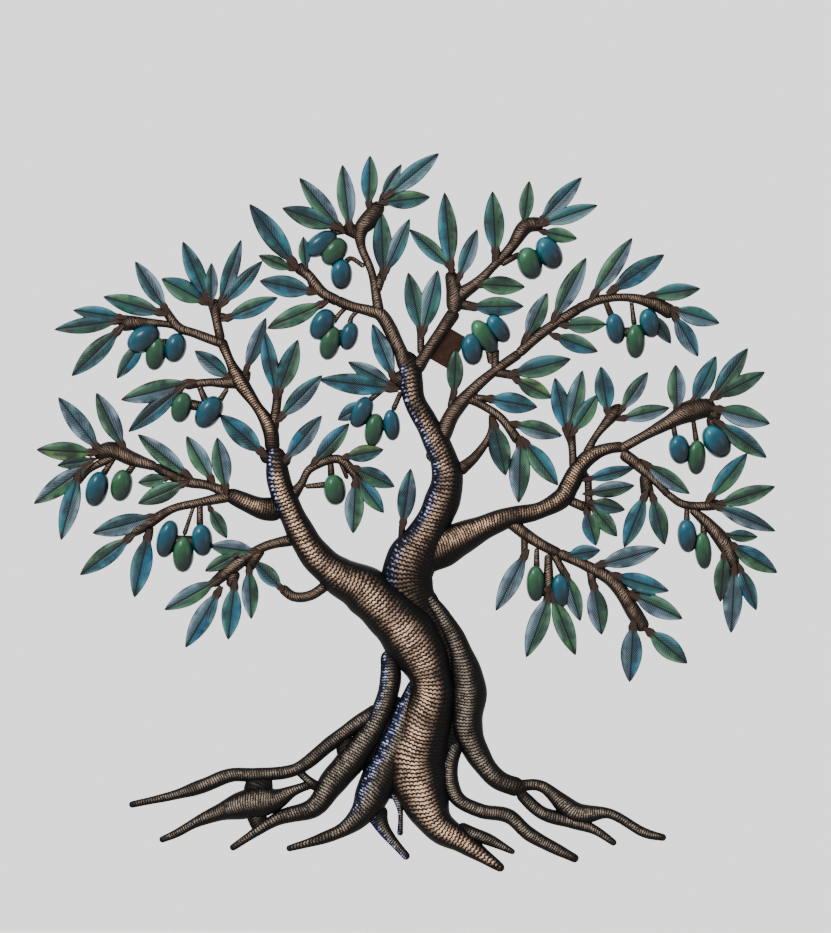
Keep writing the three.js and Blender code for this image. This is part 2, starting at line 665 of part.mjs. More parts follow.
const tree = new THREE.Group();
const placed = [];
for (const { pieces, color, roughness } of LAYERS) {
  for (const [name, pattern] of Object.entries(pieces)) {
    let solid = solidOf(pattern);
    const box = solid.boundingBox();
    for (const earlier of placed) {
      if (boxesMeet(box, earlier.box)) {
        solid = solid.subtract(earlier.cutter);
      }
    }
    const cutter = cutterOf(pattern);
    placed.push({ cutter, box: cutter.boundingBox() });
    tree.add(meshOf(name, mainBody(solid), color, roughness));
  }
}
tree.add(meshOf('hanger_tab', hangerTab(), 0x5a3d2e, 0.6));

export default tree;
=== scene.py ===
# %% [markdown]
# # A hammered steel olive tree for the wall
# The real thing is one flat sheet of steel. Its outline is cut with a chisel, its shapes are
# beaten forward from behind, and it is painted by hand and varnished. It hangs on a nail.
# The frame gives the size and the place of every piece. This script makes the worked surface.

# %% Load the frame
import math

import bpy
import numpy as np
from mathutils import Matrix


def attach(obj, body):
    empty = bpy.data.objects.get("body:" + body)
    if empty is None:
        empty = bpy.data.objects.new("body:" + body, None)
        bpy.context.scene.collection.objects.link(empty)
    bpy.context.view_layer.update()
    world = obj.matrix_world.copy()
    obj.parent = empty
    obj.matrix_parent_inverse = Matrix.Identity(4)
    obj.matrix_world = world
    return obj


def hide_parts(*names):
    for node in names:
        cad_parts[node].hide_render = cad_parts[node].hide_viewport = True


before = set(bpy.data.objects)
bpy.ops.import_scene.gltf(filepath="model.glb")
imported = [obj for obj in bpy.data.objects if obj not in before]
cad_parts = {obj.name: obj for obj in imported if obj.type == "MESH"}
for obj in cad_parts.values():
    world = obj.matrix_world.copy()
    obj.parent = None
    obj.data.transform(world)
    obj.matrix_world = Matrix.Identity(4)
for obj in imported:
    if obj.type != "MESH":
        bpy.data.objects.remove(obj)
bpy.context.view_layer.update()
print("frame pieces:", len(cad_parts))

# %% [markdown]
# ## The sheet
# All the work is done in millimetres, as a smith would measure it, and turned into metres when
# a mesh is made. Thin steel could be modelled as a single skin with a Solidify modifier, but a
# skin folds badly where the relief is steep. So every section is drawn as a closed loop, front
# and back together, and the sheet has its thickness from the start.

# %% Sizes of the sheet and its relief
MM = 0.001
RIM = -1.5            # y of the back of the cut edges
SHEET = 0.9           # thickness of the steel
LIMB_RISE = 0.42      # bulge of a limb, per unit of its width
LIMB_RISE_MAX = 14.5  # where wide limbs stop bulging further
LEAF_RISE = 2.6       # dome of each half of a leaf
LEAF_ROOT = 7.0       # the foot of a leaf, beaten into its twig
OLIVE_RISE = 0.44     # bulge of an olive, per unit of its width
print("sheet, mm:", SHEET, "deepest limb, mm:", LIMB_RISE_MAX)

# %% [markdown]
# ## The cutting pattern
# A smith scribes the tree on the sheet before cutting it. These rows are that drawing. A limb is
# the bends that a smooth curve runs through, each [x, z, width]. A leaf is [base x, base z, tip x,
# tip z, width, paints], where the paints of its left and right halves are T teal, G green, B blue,
# S silver, D slate and O olive green. An olive is [x, z, lean in degrees, length, width, paint].
# Curves could be drawn by hand in Blender, but rows can be read, compared and corrected. A limb's
# first bend often lies under its neighbour, so that it grows out of it and doesn't start abruptly.
# The real trunk is one long strand from the left bough to the root in front, so it has its own row,
# and the trunk's piece holds only the valleys beside it, kept near-black as painted shade.

# %% The pattern of the trunk and roots
MAIN_STRAND = [
  [-143, -80, 16], [-140, -108, 19.5], [-129, -136, 22], [-112, -166, 25], [-91, -185, 32],
  [-66, -200, 40], [-30, -238, 46], [-14, -275, 37], [-22, -312, 47], [-28, -338, 50],
  [-22, -364, 44], [-10, -389, 27], [12, -404, 19], [44, -426, 6],
]

TRUNK_AND_ROOTS = {
  "trunk": {
    "limbs": [
      [[-26, -196, 22], [-13, -226, 26], [-1, -257, 26], [1, -288, 28], [-5, -320, 32], [-9, -348, 26]],
      [[-42, -284, 14], [-58, -320, 20], [-71, -345, 12]],
      [[-44, -335, 22], [-47, -355, 22], [-48, -368, 10]],
    ],
  },
  "bough_left": {"limbs": [[[-147, -91, 14], [-155, -83, 8]], [[-138, -94, 12], [-132, -86, 8]]]},
  "bough_centre": {
    "limbs": [
      [[-38, -1, 9], [-33, -14, 18], [-29.5, -40, 19], [-18, -62, 19], [-5, -90, 24], [-3, -112, 27],
       [-15, -144, 31], [-32, -174, 41], [-35, -194, 43], [-26, -222, 42]],
    ],
  },
  "root_right": {
    "limbs": [
      [[-22, -196, 8], [-6, -219, 14], [7, -244, 20], [15, -277, 29], [14, -307, 26], [22, -330, 20],
       [38, -351, 17], [60, -360, 16]],
      [[56, -357, 10], [76, -358, 10], [103, -379, 17], [131, -380, 9], [158, -395, 8], [177, -400, 6]],
      [[56, -362, 10], [75, -379, 11], [98, -386, 12], [118, -393, 8], [136, -405, 5]],
    ],
  },
  "root_inner_right": {
    "limbs": [
      [[9, -316, 12], [0, -341, 13], [5, -366, 13], [25, -377.5, 12], [48, -382, 12], [67, -398, 12],
       [105, -418, 7]],
    ],
  },
  "root_main": {"limbs": [[[5, -392, 14], [31, -401, 10], [53, -412, 4]]]},
  "root_front_left": {
    "limbs": [
      [[-27, -270, 10], [-36, -296, 20], [-44, -322, 28], [-59, -354, 30], [-71, -378, 22],
       [-86, -392, 13], [-107, -401, 9], [-134, -409, 5]],
      [[-62, -374, 22], [-54, -393, 11], [-34, -417, 6]],
      [[-48, -352, 16], [-41, -376, 5], [-41, -398, 5]],
    ],
  },
  "root_left_low": {
    "limbs": [
      [[-50, -246, 14], [-49, -272, 18], [-58, -302, 18], [-76, -330, 24], [-96, -354, 22],
       [-112, -375, 17], [-142, -384.5, 11], [-180, -409, 5]],
    ],
  },
  "root_left_top": {
    "limbs": [
      [[-56, -294, 14], [-77, -307, 13], [-98, -322.5, 12], [-126, -343.5, 11], [-158, -348, 11],
       [-180, -348.5, 12], [-202, -357, 12], [-227, -365, 8], [-263, -373, 5]],
      [[-112, -355, 8], [-128, -361, 9], [-142, -368, 18], [-156, -370, 27], [-170, -373, 24],
       [-189, -379, 14], [-208, -387, 9], [-224, -396, 7], [-238, -402, 5]],
      [[-151, -346, 16], [-157, -360, 24], [-158, -372, 20]],
      [[-163, -370, 16], [-154, -394, 15]],
      [[-126, -342, 9], [-119, -350, 7], [-108, -359, 10]],
      [[-88, -316, 14], [-82, -331, 21], [-78, -344, 18]],
    ],
  },
}

print("trunk, thick boughs and roots:", len(TRUNK_AND_ROOTS), "bends in the strand:", len(MAIN_STRAND))

# %% The pattern of the big boughs
BOUGHS = {
  "bough_upper_left": {
    "limbs": [
      [[-35, -17, 14], [-42, 2, 12], [-55, 27, 11.5], [-66, 32, 9.5], [-80, 35.5, 9], [-94, 41, 9]],
    ],
  },
  "bough_upper_right": {"limbs": [[[-29, -18, 13], [-14, 5, 10], [5, 33, 12]]]},
  "bough_left_upper": {
    "limbs": [
      [[-145, -84, 13], [-148, -63, 13], [-159, -45, 9], [-172, -26, 14], [-180, -10, 8], [-188, 9, 9]],
    ],
  },
  "bough_left_low": {
    "limbs": [[[-136, -130, 20], [-153, -130, 19], [-170, -123.5, 15], [-184, -117, 11]]],
  },
  "bough_right": {
    "limbs": [
      [[-16, -92, 12], [-6, -70, 14], [3, -51, 13.5], [21, -30.5, 9.5], [39, -15.5, 8.5], [58, -2, 8.5]],
      [[37, -18, 7], [37, 2, 7]],
    ],
  },
  "bough_right_low": {
    "limbs": [
      [[-34, -176, 26], [-10, -164, 32], [19, -149.5, 24], [47, -137.5, 17], [72, -132, 14.5],
       [91, -122, 17], [98, -111, 16], [107, -95, 14], [122, -84, 10], [141, -79, 7]],
    ],
  },
}

print("big boughs:", len(BOUGHS))

# %% The pattern of the fruit
FRUIT = {
  "olives_left_top": {
    "limbs": [[[-246, 4, 12], [-226, 3, 12]], [[-245, 14, 6], [-243, 22, 5]]],
    "leaves": [[-252, 6, -273, -23.5, 12.5, "BG"]],
    "olives": [[-251, 9, 35, 30, 21, "B"], [-241, -3, 80, 28, 17, "G"], [-225, 1.7, 75, 25, 18, "B"]],
  },
  "olives_left_mid": {
    "limbs": [
      [[-216, -44, 9], [-200, -47, 9]],
      [[-207, -26, 4], [-199, -45, 7]],
      [[-182, -31, 4], [-191, -45, 6]],
    ],
    "leaves": [[-155, -83, -188.5, -53, 17, "TB"]],
    "olives": [[-220, -47, 75, 26, 17, "G"], [-197.5, -51, 55, 30, 20, "B"]],
  },
  "olive_left_far_outer": {
    "limbs": [[[-274, -87, 4], [-285, -103, 6]]],
    "olives": [[-289.3, -114, 75, 30, 18.5, "B"]],
  },
  "olive_left_far_inner": {
    "limbs": [[[-254, -88, 4], [-265, -102, 6]]],
    "olives": [[-269.2, -111, 78, 27, 18, "G"]],
  },
  "olives_left_low": {
    "limbs": [
      [[-230, -157, 10], [-204, -157, 10]],
      [[-209, -125, 3], [-218, -152, 4]],
      [[-205, -123, 5], [-205, -145, 6]],
    ],
    "olives": [
      [-231.7, -154.8, 75, 32, 17, "B"], [-218.6, -167.4, 88, 30, 17.5, "G"],
      [-203.2, -155.8, 95, 27, 17.5, "B"],
    ],
  },
  "olives_upper_left": {
    "limbs": [
      [[-70, 68, 4], [-81, 75, 4], [-87, 70, 6]],
      [[-89, 64, 10], [-94, 80, 10]],
      [[-79, 98, 4], [-99, 95, 4]],
    ],
    "olives": [[-105.5, 87, 35, 30, 18, "B"], [-94.7, 80.5, 50, 26, 19, "G"], [-89, 62, 90, 26, 18, "B"]],
  },
  "olives_centre_left": {
    "limbs": [
      [[-75, 33, 4], [-81, 26, 4], [-82, 18, 6]],
      [[-84, 36, 4], [-91, 29, 4], [-96, 22, 5]],
      [[-100, 12, 10], [-83, 12, 10]],
    ],
    "olives": [
      [-104.5, 21, 60, 28, 19, "B"], [-98.2, 5.7, 75, 29, 17, "G"], [-82.8, 11.3, 75, 24, 15, "B"],
    ],
  },
  "olives_centre": {
    "limbs": [
      [[-40, -34, 4], [-47, -50, 5]],
      [[-52, -30, 4], [-67, -42, 5]],
      [[-68, -58, 9], [-50, -63, 9]],
    ],
    "leaves": [[-70, -44, -92.1, -57.5, 13, "SB"]],
    "olives": [
      [-72.5, -51, 63, 28, 17, "B"], [-62.2, -65.5, 80, 28, 15.5, "G"], [-47.8, -61.5, 95, 26, 14, "B"],
    ],
  },
  "olives_centre_right": {
    "limbs": [[[34, -12, 6], [31, 8, 8]], [[20, 4, 8], [38, 16, 8]]],
    "olives": [
      [28.4, 10.9, 124, 32, 17, "G"], [18.2, 0.6, 95, 27, 18, "B"], [39.6, 17.4, 125, 26, 16, "B"],
    ],
  },
  "olives_top_right": {
    "limbs": [[[64, 72, 9], [80, 78, 9]], [[41, 70, 6], [58, 79, 5]]],
    "olives": [[65.3, 71, 108, 28, 20, "G"], [81.3, 79.4, 119, 29, 20, "B"]],
  },
  "olives_right": {
    "limbs": [[[126, 43, 4], [133, 26, 6]], [[148, 44, 3], [151, 20, 5]], [[136, 14, 8], [163, 16, 8]]],
    "leaves": [[166, 28, 181, 5, 11, "DD"]],
    "olives": [
      [135.6, 17.4, 100, 26, 16, "B"], [152, 7.2, 90, 29, 16, "G"], [163.6, 22, 105, 25, 17, "B"],
    ],
  },
  "olives_right_far": {
    "limbs": [
      [[182, -57, 4], [185, -73, 5]],
      [[199, -56, 4], [202, -76, 5]],
      [[189, -86, 8], [202, -88, 8]],
    ],
    "olives": [[188, -81.5, 100, 25, 17.5, "B"], [202, -88, 88, 29, 15.5, "G"]],
  },
  "olive_right_far_outer": {
    "limbs": [[[213, -54, 8], [216, -66, 9]]],
    "olives": [[218.4, -75, 123, 30, 21, "B"]],
  },
  "olives_right_low": {
    "limbs": [
      [[194, -128, 4], [194, -145, 6]],
      [[207, -134, 4], [208, -154, 6]],
      [[196, -156, 8], [207, -158, 8]],
    ],
    "olives": [[194.4, -152.3, 95, 28, 16.3, "B"], [207.5, -164.4, 95, 31, 14, "G"]],
  },
  "olives_low": {
    "limbs": [
      [[71, -162, 4], [71, -180, 6]],
      [[72, -197, 10], [90, -197, 10]],
      [[80.5, -167, 7], [81, -206, 9]],
    ],
    "leaves": [[80.4, -203, 62.4, -252, 16.5, "GS"], [85, -204, 102.8, -250.2, 15, "GG"]],
    "olives": [[70.2, -191.4, 90, 30, 15.5, "G"], [90.7, -197, 95, 28, 15.4, "B"]],
  },
}

print("bunches of fruit:", len(FRUIT))

# %% The pattern of the leafy sprays
SPRAYS = {
  "spray_left_top_outer": {
    "limbs": [
      [[-186, 5, 9], [-209, 13.5, 7.5], [-223, 19, 8], [-235, 35, 8]],
      [[-219, 18, 6], [-238, 21.8, 6.5], [-272, 22, 15]],
    ],
    "leaves": [
      [-234, 35, -258, 72.7, 14, "TS"], [-238, 30.6, -284.2, 43.7, 15, "TG"],
      [-270.6, 27, -308.9, 32.5, 12, "TB"], [-273.4, 23.5, -324.3, 16.6, 13, "GT"],
      [-272.5, 15, -310, -21.5, 15.5, "TG"],
    ],
  },
  "spray_left_top_inner": {
    "limbs": [[[-187.5, 7, 8], [-191.5, 26, 8], [-193, 42, 14]], [[-190, 28, 7], [-179, 25, 7]]],
    "leaves": [
      [-202, 40, -236.5, 58.5, 17, "GT"], [-200, 44, -219, 89, 14.5, "BT"],
      [-195.5, 39, -195.4, 71.5, 10.5, "TS"], [-187.5, 40, -171, 90.6, 12.5, "TS"],
      [-184, 39.5, -153.6, 73, 12, "TB"], [-181, 26.5, -141, 43, 14, "GB"],
    ],
  },
  "spray_upper_left": {
    "limbs": [[[-90, 39, 9], [-103, 46, 9], [-111, 54, 10], [-115, 60, 9], [-126, 69.5, 12]]],
    "leaves": [
      [-130.5, 66.5, -157, 77.5, 10.5, "GG"], [-129, 72, -164.4, 119.6, 17, "TB"],
      [-118, 68, -120.2, 93, 10, "GT"], [-114.7, 48, -156.2, 56.6, 17, "BT"],
      [-106, 37, -150, 17.5, 15, "GG"],
    ],
  },
  "spray_top_left": {
    "limbs": [
      [[-58, 30, 9.5], [-64, 62.7, 7], [-72.5, 84, 7.5], [-73, 98, 12], [-66, 107, 16], [-56, 121, 10]],
      [[-73, 93, 10], [-87, 102, 12]],
      [[-60, 47, 7], [-55, 64, 8]],
    ],
    "leaves": [
      [-91, 101, -123.6, 141.2, 14.5, "GS"], [-95, 101, -137.6, 116.3, 16, "GT"],
      [-82.5, 102.5, -88.1, 151.8, 14.5, "GS"], [-66.5, 120, -65.5, 159.4, 13.5, "BG"],
      [-55.5, 126, -39.6, 152.3, 9, "DS"], [-49, 128, -8.9, 161.1, 14.5, "TS"],
      [-53, 121, -16.2, 125.3, 14.5, "GT"], [-54.5, 63.5, -56.5, 114, 15.5, "TG"],
      [-52.5, 64.5, -33, 107.5, 13, "ST"],
    ],
  },
  "spray_upper_right": {
    "limbs": [
      [[3, 30, 12], [4, 45, 15], [0, 65, 9.5]],
      [[0, 40, 14], [21, 54, 9.5], [35, 68, 7.5], [50, 84, 9], [62, 101, 13], [77, 103, 12]],
      [[6, 38, 9], [24, 34.5, 8]],
      [[37, 70, 6], [37, 84, 6]],
    ],
    "leaves": [
      [-1, 69, -33.5, 99, 12.5, "TG"], [0.4, 70, -4.5, 129.2, 15.5, "BG"],
      [8, 60.5, 22.4, 99, 12.5, "TS"], [24.5, 53.8, 61.6, 51.6, 15, "GG"],
      [19.5, 35.3, 60.5, 35.8, 15.4, "GT"], [37.3, 80.5, 34.7, 130, 16.2, "TG"],
      [60.5, 104.5, 65, 138.7, 11.5, "GG"], [75.2, 106.5, 108.1, 141.6, 14, "TS"],
      [78, 103.7, 121, 118.6, 13.3, "TS"], [77.1, 96.5, 104.3, 91.1, 12, "GG"],
    ],
  },
  "leaves_centre_pair": {
    "limbs": [[[-24, -4, 6], [-24, 18, 7]]],
    "leaves": [[-24, 16.5, -34.3, 63.6, 15.5, "TG"], [-22, 16.5, -9.9, 65.5, 16, "ST"]],
  },
  "leaf_centre": {"limbs": [[[0, -48, 6], [3, -33, 5]]], "leaves": [[3.2, -35, 5, 1, 13.5, "GG"]]},
  "leaf_centre_low": {
    "limbs": [[[-40, -156, 6], [-39, -140, 5]]],
    "leaves": [[-38.5, -141.5, -32.2, -97, 14.5, "TS"]],
  },
  "spray_right": {
    "limbs": [[[55, -4, 8], [76, 14.4, 9], [107, 35, 8.5]], [[60, 1, 7], [62.5, 12, 7]]],
    "leaves": [
      [63, 11, 79.8, 47, 14.5, "SG"], [86.5, 28, 111.6, 75.7, 15.5, "GS"], [94.5, 20, 128, 21, 14, "GG"],
      [87, 11, 121.3, -1.5, 14, "GB"],
    ],
  },
  "spray_right_upper": {
    "limbs": [[[103, 33, 8.5], [122, 41, 8], [145, 43, 7], [167, 38, 10.5], [184, 29, 14]]],
    "leaves": [
      [118.5, 46, 149.4, 92, 14.5, "GS"], [134, 49.5, 175.6, 78.3, 16, "TB"],
      [166, 44.8, 205.1, 50.2, 13.5, "TG"], [184.5, 32.5, 221, 21.8, 14.8, "TS"],
      [184.5, 26, 203.3, -5.5, 14, "BS"],
    ],
  },
  "spray_right_mid": {
    "limbs": [[[34, -18, 7], [55, -21, 8]]],
    "leaves": [[53, -19.3, 99.2, -7.3, 16.5, "TG"], [55, -25, 83.5, -39.5, 14, "OG"]],
  },
  "spray_right_hanging": {
    "limbs": [
      [[11, -38, 9], [25, -44.5, 7.5], [42, -56, 7], [57, -76, 9]],
      [[16, -38.5, 6], [35, -40.5, 6]],
      [[6, -100, 13], [21, -87, 8], [33, -69, 6], [34, -52, 5]],
    ],
    "leaves": [
      [33.5, -40.2, 71.8, -47, 16.5, "BB"], [54, -61, 92, -70.5, 14.5, "GS"],
      [36.2, -62, 45.5, -103, 17, "GT"], [57.6, -77, 56.2, -125.5, 17, "GS"],
      [62, -76.5, 88.5, -111, 15.5, "BG"],
    ],
  },
  "spray_right_fork": {
    "limbs": [
      [[105, -108, 14], [109, -91, 12], [123, -82, 9], [143, -79, 9.5]],
      [[101, -97, 7], [100, -78, 7], [97, -64, 13]],
      [[111, -86, 8], [120, -70, 6], [136, -50, 11], [139, -44, 8]],
    ],
    "leaves": [
      [95, -65, 85.9, -22.6, 15, "BT"], [97.5, -62, 108.5, -16.6, 14.5, "SG"],
      [101.5, -66, 121, -36.5, 14, "TG"], [129, -49.5, 123.5, -13.4, 15.5, "TB"],
      [141.3, -48, 162.2, -17.8, 12.5, "GS"], [142.2, -56, 180, -47.3, 13, "GS"],
    ],
  },
  "spray_right_far": {
    "limbs": [
      [[138, -82, 9], [158, -71, 8], [178, -60, 12], [197, -50, 18], [218, -46.5, 14]],
      [[211, -48, 12], [221, -57, 11]],
    ],
    "leaves": [
      [185.9, -48, 184.8, -12, 14.7, "GS"], [199.8, -42, 218, -4.9, 15, "BT"],
      [216.6, -37, 244, 1.6, 14.5, "TG"], [219, -38, 258.1, -18, 14, "GG"],
      [220.3, -49, 262.3, -60.5, 17, "GS"], [221, -61, 259.5, -88.5, 15, "TG"],
    ],
  },
  "spray_right_inner": {
    "limbs": [
      [[106, -102, 9], [114, -106, 8]],
      [[97, -123, 8], [113, -130, 9]],
      [[113, -103, 6], [114, -132, 7]],
    ],
    "leaves": [
      [114, -105.5, 151.5, -96.3, 11, "BT"], [115, -117, 151.3, -111, 12.8, "SG"],
      [116, -125, 143.5, -131, 12, "GT"], [116.8, -129, 137, -153, 13.5, "GG"],
      [112, -133, 119.6, -160.5, 14, "GB"],
    ],
  },
  "spray_right_down": {
    "limbs": [
      [[140, -84, 10], [152, -92.7, 10], [168, -107.5, 7], [180, -120, 6]],
      [[152, -91, 8], [164, -96, 8]],
      [[159, -101, 9], [162.4, -121, 12]],
    ],
    "leaves": [
      [162.4, -95, 196.5, -118, 13.5, "GS"], [158.8, -121, 142.5, -162, 15, "TB"],
      [166.4, -122, 175.8, -159.8, 14.5, "GT"],
    ],
  },
  "spray_right_low_far": {
    "limbs": [
      [[177, -117, 6], [190, -126, 7], [207, -128, 8], [222, -126, 9]],
      [[197, -130, 6], [212, -143, 10], [225, -159, 13], [234, -179, 10]],
    ],
    "leaves": [
      [213.8, -120.5, 243.6, -84.5, 15, "BG"], [222, -126, 266.5, -111.8, 14, "GG"],
      [219.6, -129, 266.8, -148.6, 13, "TS"], [227, -151.5, 252.3, -153.2, 10, "TG"],
      [231.8, -160.7, 268.2, -182.6, 15.5, "BG"], [238, -180, 250.9, -213.4, 12, "TB"],
      [232.7, -181.5, 230.2, -232, 15.5, "SS"], [224.3, -169, 221.3, -206.5, 13.5, "GG"],
    ],
  },
  "spray_low_right": {
    "limbs": [
      [[88, -166, 9], [114, -178, 9.5], [135, -191, 12], [150, -214, 13], [160, -230, 12]],
      [[115, -178, 7], [117, -195, 7]],
    ],
    "leaves": [
      [97, -168, 123.4, -164, 12.5, "BT"], [124.3, -175.5, 171.5, -162.5, 15.7, "SS"],
      [136.5, -185, 179.5, -197.6, 14.5, "BT"], [150, -198, 170, -202, 8, "TT"],
      [152, -202, 190.6, -220.3, 16, "GS"], [149.8, -227, 147, -272.1, 17, "BS"],
      [164, -231.5, 194.5, -256.9, 16.5, "TG"], [117.8, -194, 124.2, -233.4, 16.3, "GS"],
    ],
  },
  "spray_low_centre": {
    "limbs": [
      [[43, -136, 12], [62, -151, 10], [76.7, -160.4, 9], [91, -167.5, 8.5]],
      [[61, -152, 6], [61, -170, 6]],
      [[84, -166, 6], [96, -187, 7]],
    ],
    "leaves": [[60.8, -169, 37.5, -213.8, 15, "SS"], [95.4, -185, 106.8, -222.3, 13.5, "GS"]],
  },
  "spray_arch": {
    "limbs": [
      [[-132, -123, 14], [-122, -110, 7], [-114, -97, 7], [-92.5, -89.3, 8], [-79, -100.5, 8],
       [-76, -109, 7]],
      [[-119, -112, 4], [-98, -110, 6]],
      [[-98, -91, 5], [-97, -106, 6]],
      [[-90, -91, 4], [-84, -106, 4]],
    ],
    "leaves": [
      [-110, -90.5, -82.5, -60, 14, "BG"], [-84.5, -87.5, -54.3, -81.6, 13.5, "OT"],
      [-76.5, -97.5, -45.3, -112.2, 14.5, "TG"], [-75, -106.5, -54.2, -133.7, 13.5, "BG"],
      [-77.6, -110, -79.4, -150.5, 15.5, "GS"],
    ],
    "olives": [[-94.4, -114.5, 97, 26, 18.5, "G"]],
  },
  "spray_centre": {
    "limbs": [[[-34, -20, 15], [-48, -30, 14]]],
    "leaves": [
      [-47, -21, -63.6, 21.6, 14.5, "BS"], [-49, -28, -83.7, -9.7, 13, "TS"],
      [-49, -31.5, -107.5, -24.2, 16.5, "BT"],
    ],
  },
  "spray_left_mid": {
    "limbs": [[[-171, -26, 12], [-185, -27, 9], [-198, -26.7, 7], [-218, -29, 9]]],
    "leaves": [
      [-182, -22, -209.2, -0.5, 14, "ST"], [-214.6, -27.5, -269.7, -41, 17, "SG"],
      [-222, -33, -263.6, -67.3, 14, "BD"],
    ],
  },
  "spray_left_fork": {
    "limbs": [
      [[-145, -68, 9], [-142, -44, 8], [-141, -33, 9]],
      [[-143, -58, 9], [-137, -53, 8]],
      [[-168, -28, 7], [-166, -16, 7]],
    ],
    "leaves": [
      [-140, -34, -124.5, 8.5, 16, "TG"], [-143, -34, -153, 18, 13, "BT"],
      [-137.5, -54, -104.6, -20.6, 14.5, "TS"], [-166.5, -15, -150.7, 26.7, 12, "SD"],
    ],
  },
  "leaf_left_inner": {"leaves": [[-133.5, -88.5, -105, -53.7, 14.5, "BS"]]},
  "spray_left_low_inner": {
    "limbs": [[[-181, -118, 11], [-198, -111, 8], [-219, -107, 9], [-243, -95, 8]]],
    "leaves": [
      [-216.5, -101, -256, -69, 14, "GS"], [-233, -105.5, -255.7, -108.8, 11, "GG"],
      [-219.3, -110, -255.7, -126, 15, "GG"], [-196, -105, -216, -70.4, 14.5, "GS"],
      [-184, -112, -190.8, -71.5, 15.5, "GS"],
    ],
  },
  "spray_left_far": {
    "limbs": [
      [[-240, -96, 8], [-261, -89, 12], [-277, -82, 14], [-292, -86, 11]],
      [[-274, -87, 8], [-294, -97, 6], [-306, -110, 5]],
    ],
    "leaves": [
      [-289.3, -79.5, -321, -38.7, 15.5, "SS"], [-268.8, -77.5, -289.8, -35, 15.5, "GS"],
      [-294, -84, -338.8, -81.7, 15, "OG"], [-294, -90, -322, -94.8, 10, "GD"],
      [-297.7, -95.5, -341, -126.2, 15.5, "GS"], [-305, -105, -318.7, -156, 15, "SB"],
    ],
  },
  "spray_left_low_under": {
    "limbs": [
      [[-179, -119.5, 10], [-205, -125, 7.5], [-228, -130.5, 7.5], [-250, -144, 9.5], [-265, -151, 9]],
      [[-245, -144, 5], [-246, -155, 5]],
    ],
    "leaves": [
      [-245.5, -137.5, -293, -150.2, 16.5, "ST"], [-263.7, -155, -303.3, -184.5, 15, "BG"],
      [-247.5, -153.5, -258.6, -202.9, 16.5, "BT"], [-196, -130.5, -182.7, -154.5, 11, "GG"],
    ],
  },
  "spray_low_left": {
    "limbs": [
      [[-127, -155, 10], [-153, -161.6, 8], [-176.6, -177, 11], [-196, -193, 8]],
      [[-154, -162, 9], [-166, -180, 10]],
      [[-176, -180, 11], [-180, -195, 9]],
    ],
    "leaves": [
      [-161, -165, -197, -160.5, 14, "GS"], [-176, -168, -201, -181.4, 11, "GG"],
      [-193.4, -190.3, -234, -213, 14.5, "GS"], [-190.6, -199.5, -216.8, -244, 15.5, "BS"],
      [-176.6, -194, -181.8, -237.5, 15.5, "BT"], [-164.5, -181, -162.8, -220.6, 13.5, "GS"],
    ],
  },
  "twig_low_left": {
    "limbs": [[[-99, -191, 9], [-114, -201, 8.5], [-128, -202, 9], [-139, -194, 8]]],
    "leaves": [[-139, -194.5, -160, -173, 13, "BG"]],
  },
}

print("leafy sprays:", len(SPRAYS))

# %% Check the pattern against the frame
pattern = {**TRUNK_AND_ROOTS, **BOUGHS, **FRUIT, **SPRAYS}
missing = set(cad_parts) - set(pattern) - {"hanger_tab"}
print("pieces drawn:", len(pattern), "frame pieces not drawn:", sorted(missing))

# %% [markdown]
# ## Steel under the hammer
# One mesh may hold many lofts. Each loft is a row of closed loops, and every point carries notes
# for the painter: how far along and across the piece it lies, how near the edge, and whether it
# is on the back. A texture could be laid on by unwrapping the sheet, but it would stretch over
# the relief. Notes kept on the points stay with the metal, so paint follows the shape.

# %% Collect lofts and turn them into one mesh
NOTES = ("along", "across", "edge", "share", "mark", "rub_and_light", "cool", "back")


class Blank:
    """A blank of steel: loops lofted into closed skins, with the painter's notes."""

    def __init__(self):
        self.points = []
        self.faces = []
        self.paints = []
        self.notes = {name: [] for name in NOTES}
        self.count = 0

    def loft(self, loops, notes, paint):
        """loops is stations x points x 3, front then back; paint gives each face its colour."""
        stations, around, _ = loops.shape
        index = self.count + np.arange(stations * around).reshape(stations, around)
        turned = np.roll(index, -1, axis=1)
        walls = np.stack([index[:-1], turned[:-1], turned[1:], index[1:]], axis=-1).reshape(-1, 4)
        self.points.append(loops.reshape(-1, 3))
        self.faces.extend([*walls.tolist(), index[0, ::-1].tolist(), index[-1].tolist()])
        self.paints.extend([*np.tile(paint, stations - 1), paint[0], paint[0]])
        for name in NOTES:
            value = notes.get(name, 0.0)
            self.notes[name].append(np.broadcast_to(value, (stations, around)).reshape(-1))
        self.count += stations * around

    def make(self, name, nodes, paints):
        """Makes one mesh in place of the frame's nodes, and returns about how many triangles it has."""
        points = np.concatenate(self.points) * MM
        mesh = bpy.data.meshes.new(name)
        mesh.from_pydata(points.tolist(), [], self.faces)
        for paint in paints:
            mesh.materials.append(paint)
        mesh.polygons.foreach_set("material_index", np.array(self.paints, np.int32))
        for note, values in self.notes.items():
            layer = mesh.attributes.new(note, "FLOAT", "POINT")
            layer.data.foreach_set("value", np.concatenate(values).astype(np.float32))
        mesh.shade_smooth()
        mesh.update()
        piece = bpy.data.objects.new(name, mesh)
        bpy.context.scene.collection.objects.link(piece)
        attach(piece, "root")
        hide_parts(*nodes)
        return 2 * len(mesh.polygons)


# %% [markdown]
# ## Sections and chance
# A section runs across the front of the sheet and back again behind it, where it is flat and
# needs fewer points. Handwork is never even, so some sizes vary by chance. A random generator
# would do, but a formula gives each mark the same chance however many are made before it.

# %% Sections and chance
def around_sheet(front, behind=5):
    """Places across a section, -1 to 1 on the front and back again behind, and which is which."""
    places = np.concatenate([np.linspace(-1, 1, front), np.linspace(1, -1, behind)])
    return places, np.repeat([0.0, 1.0], [front, behind])


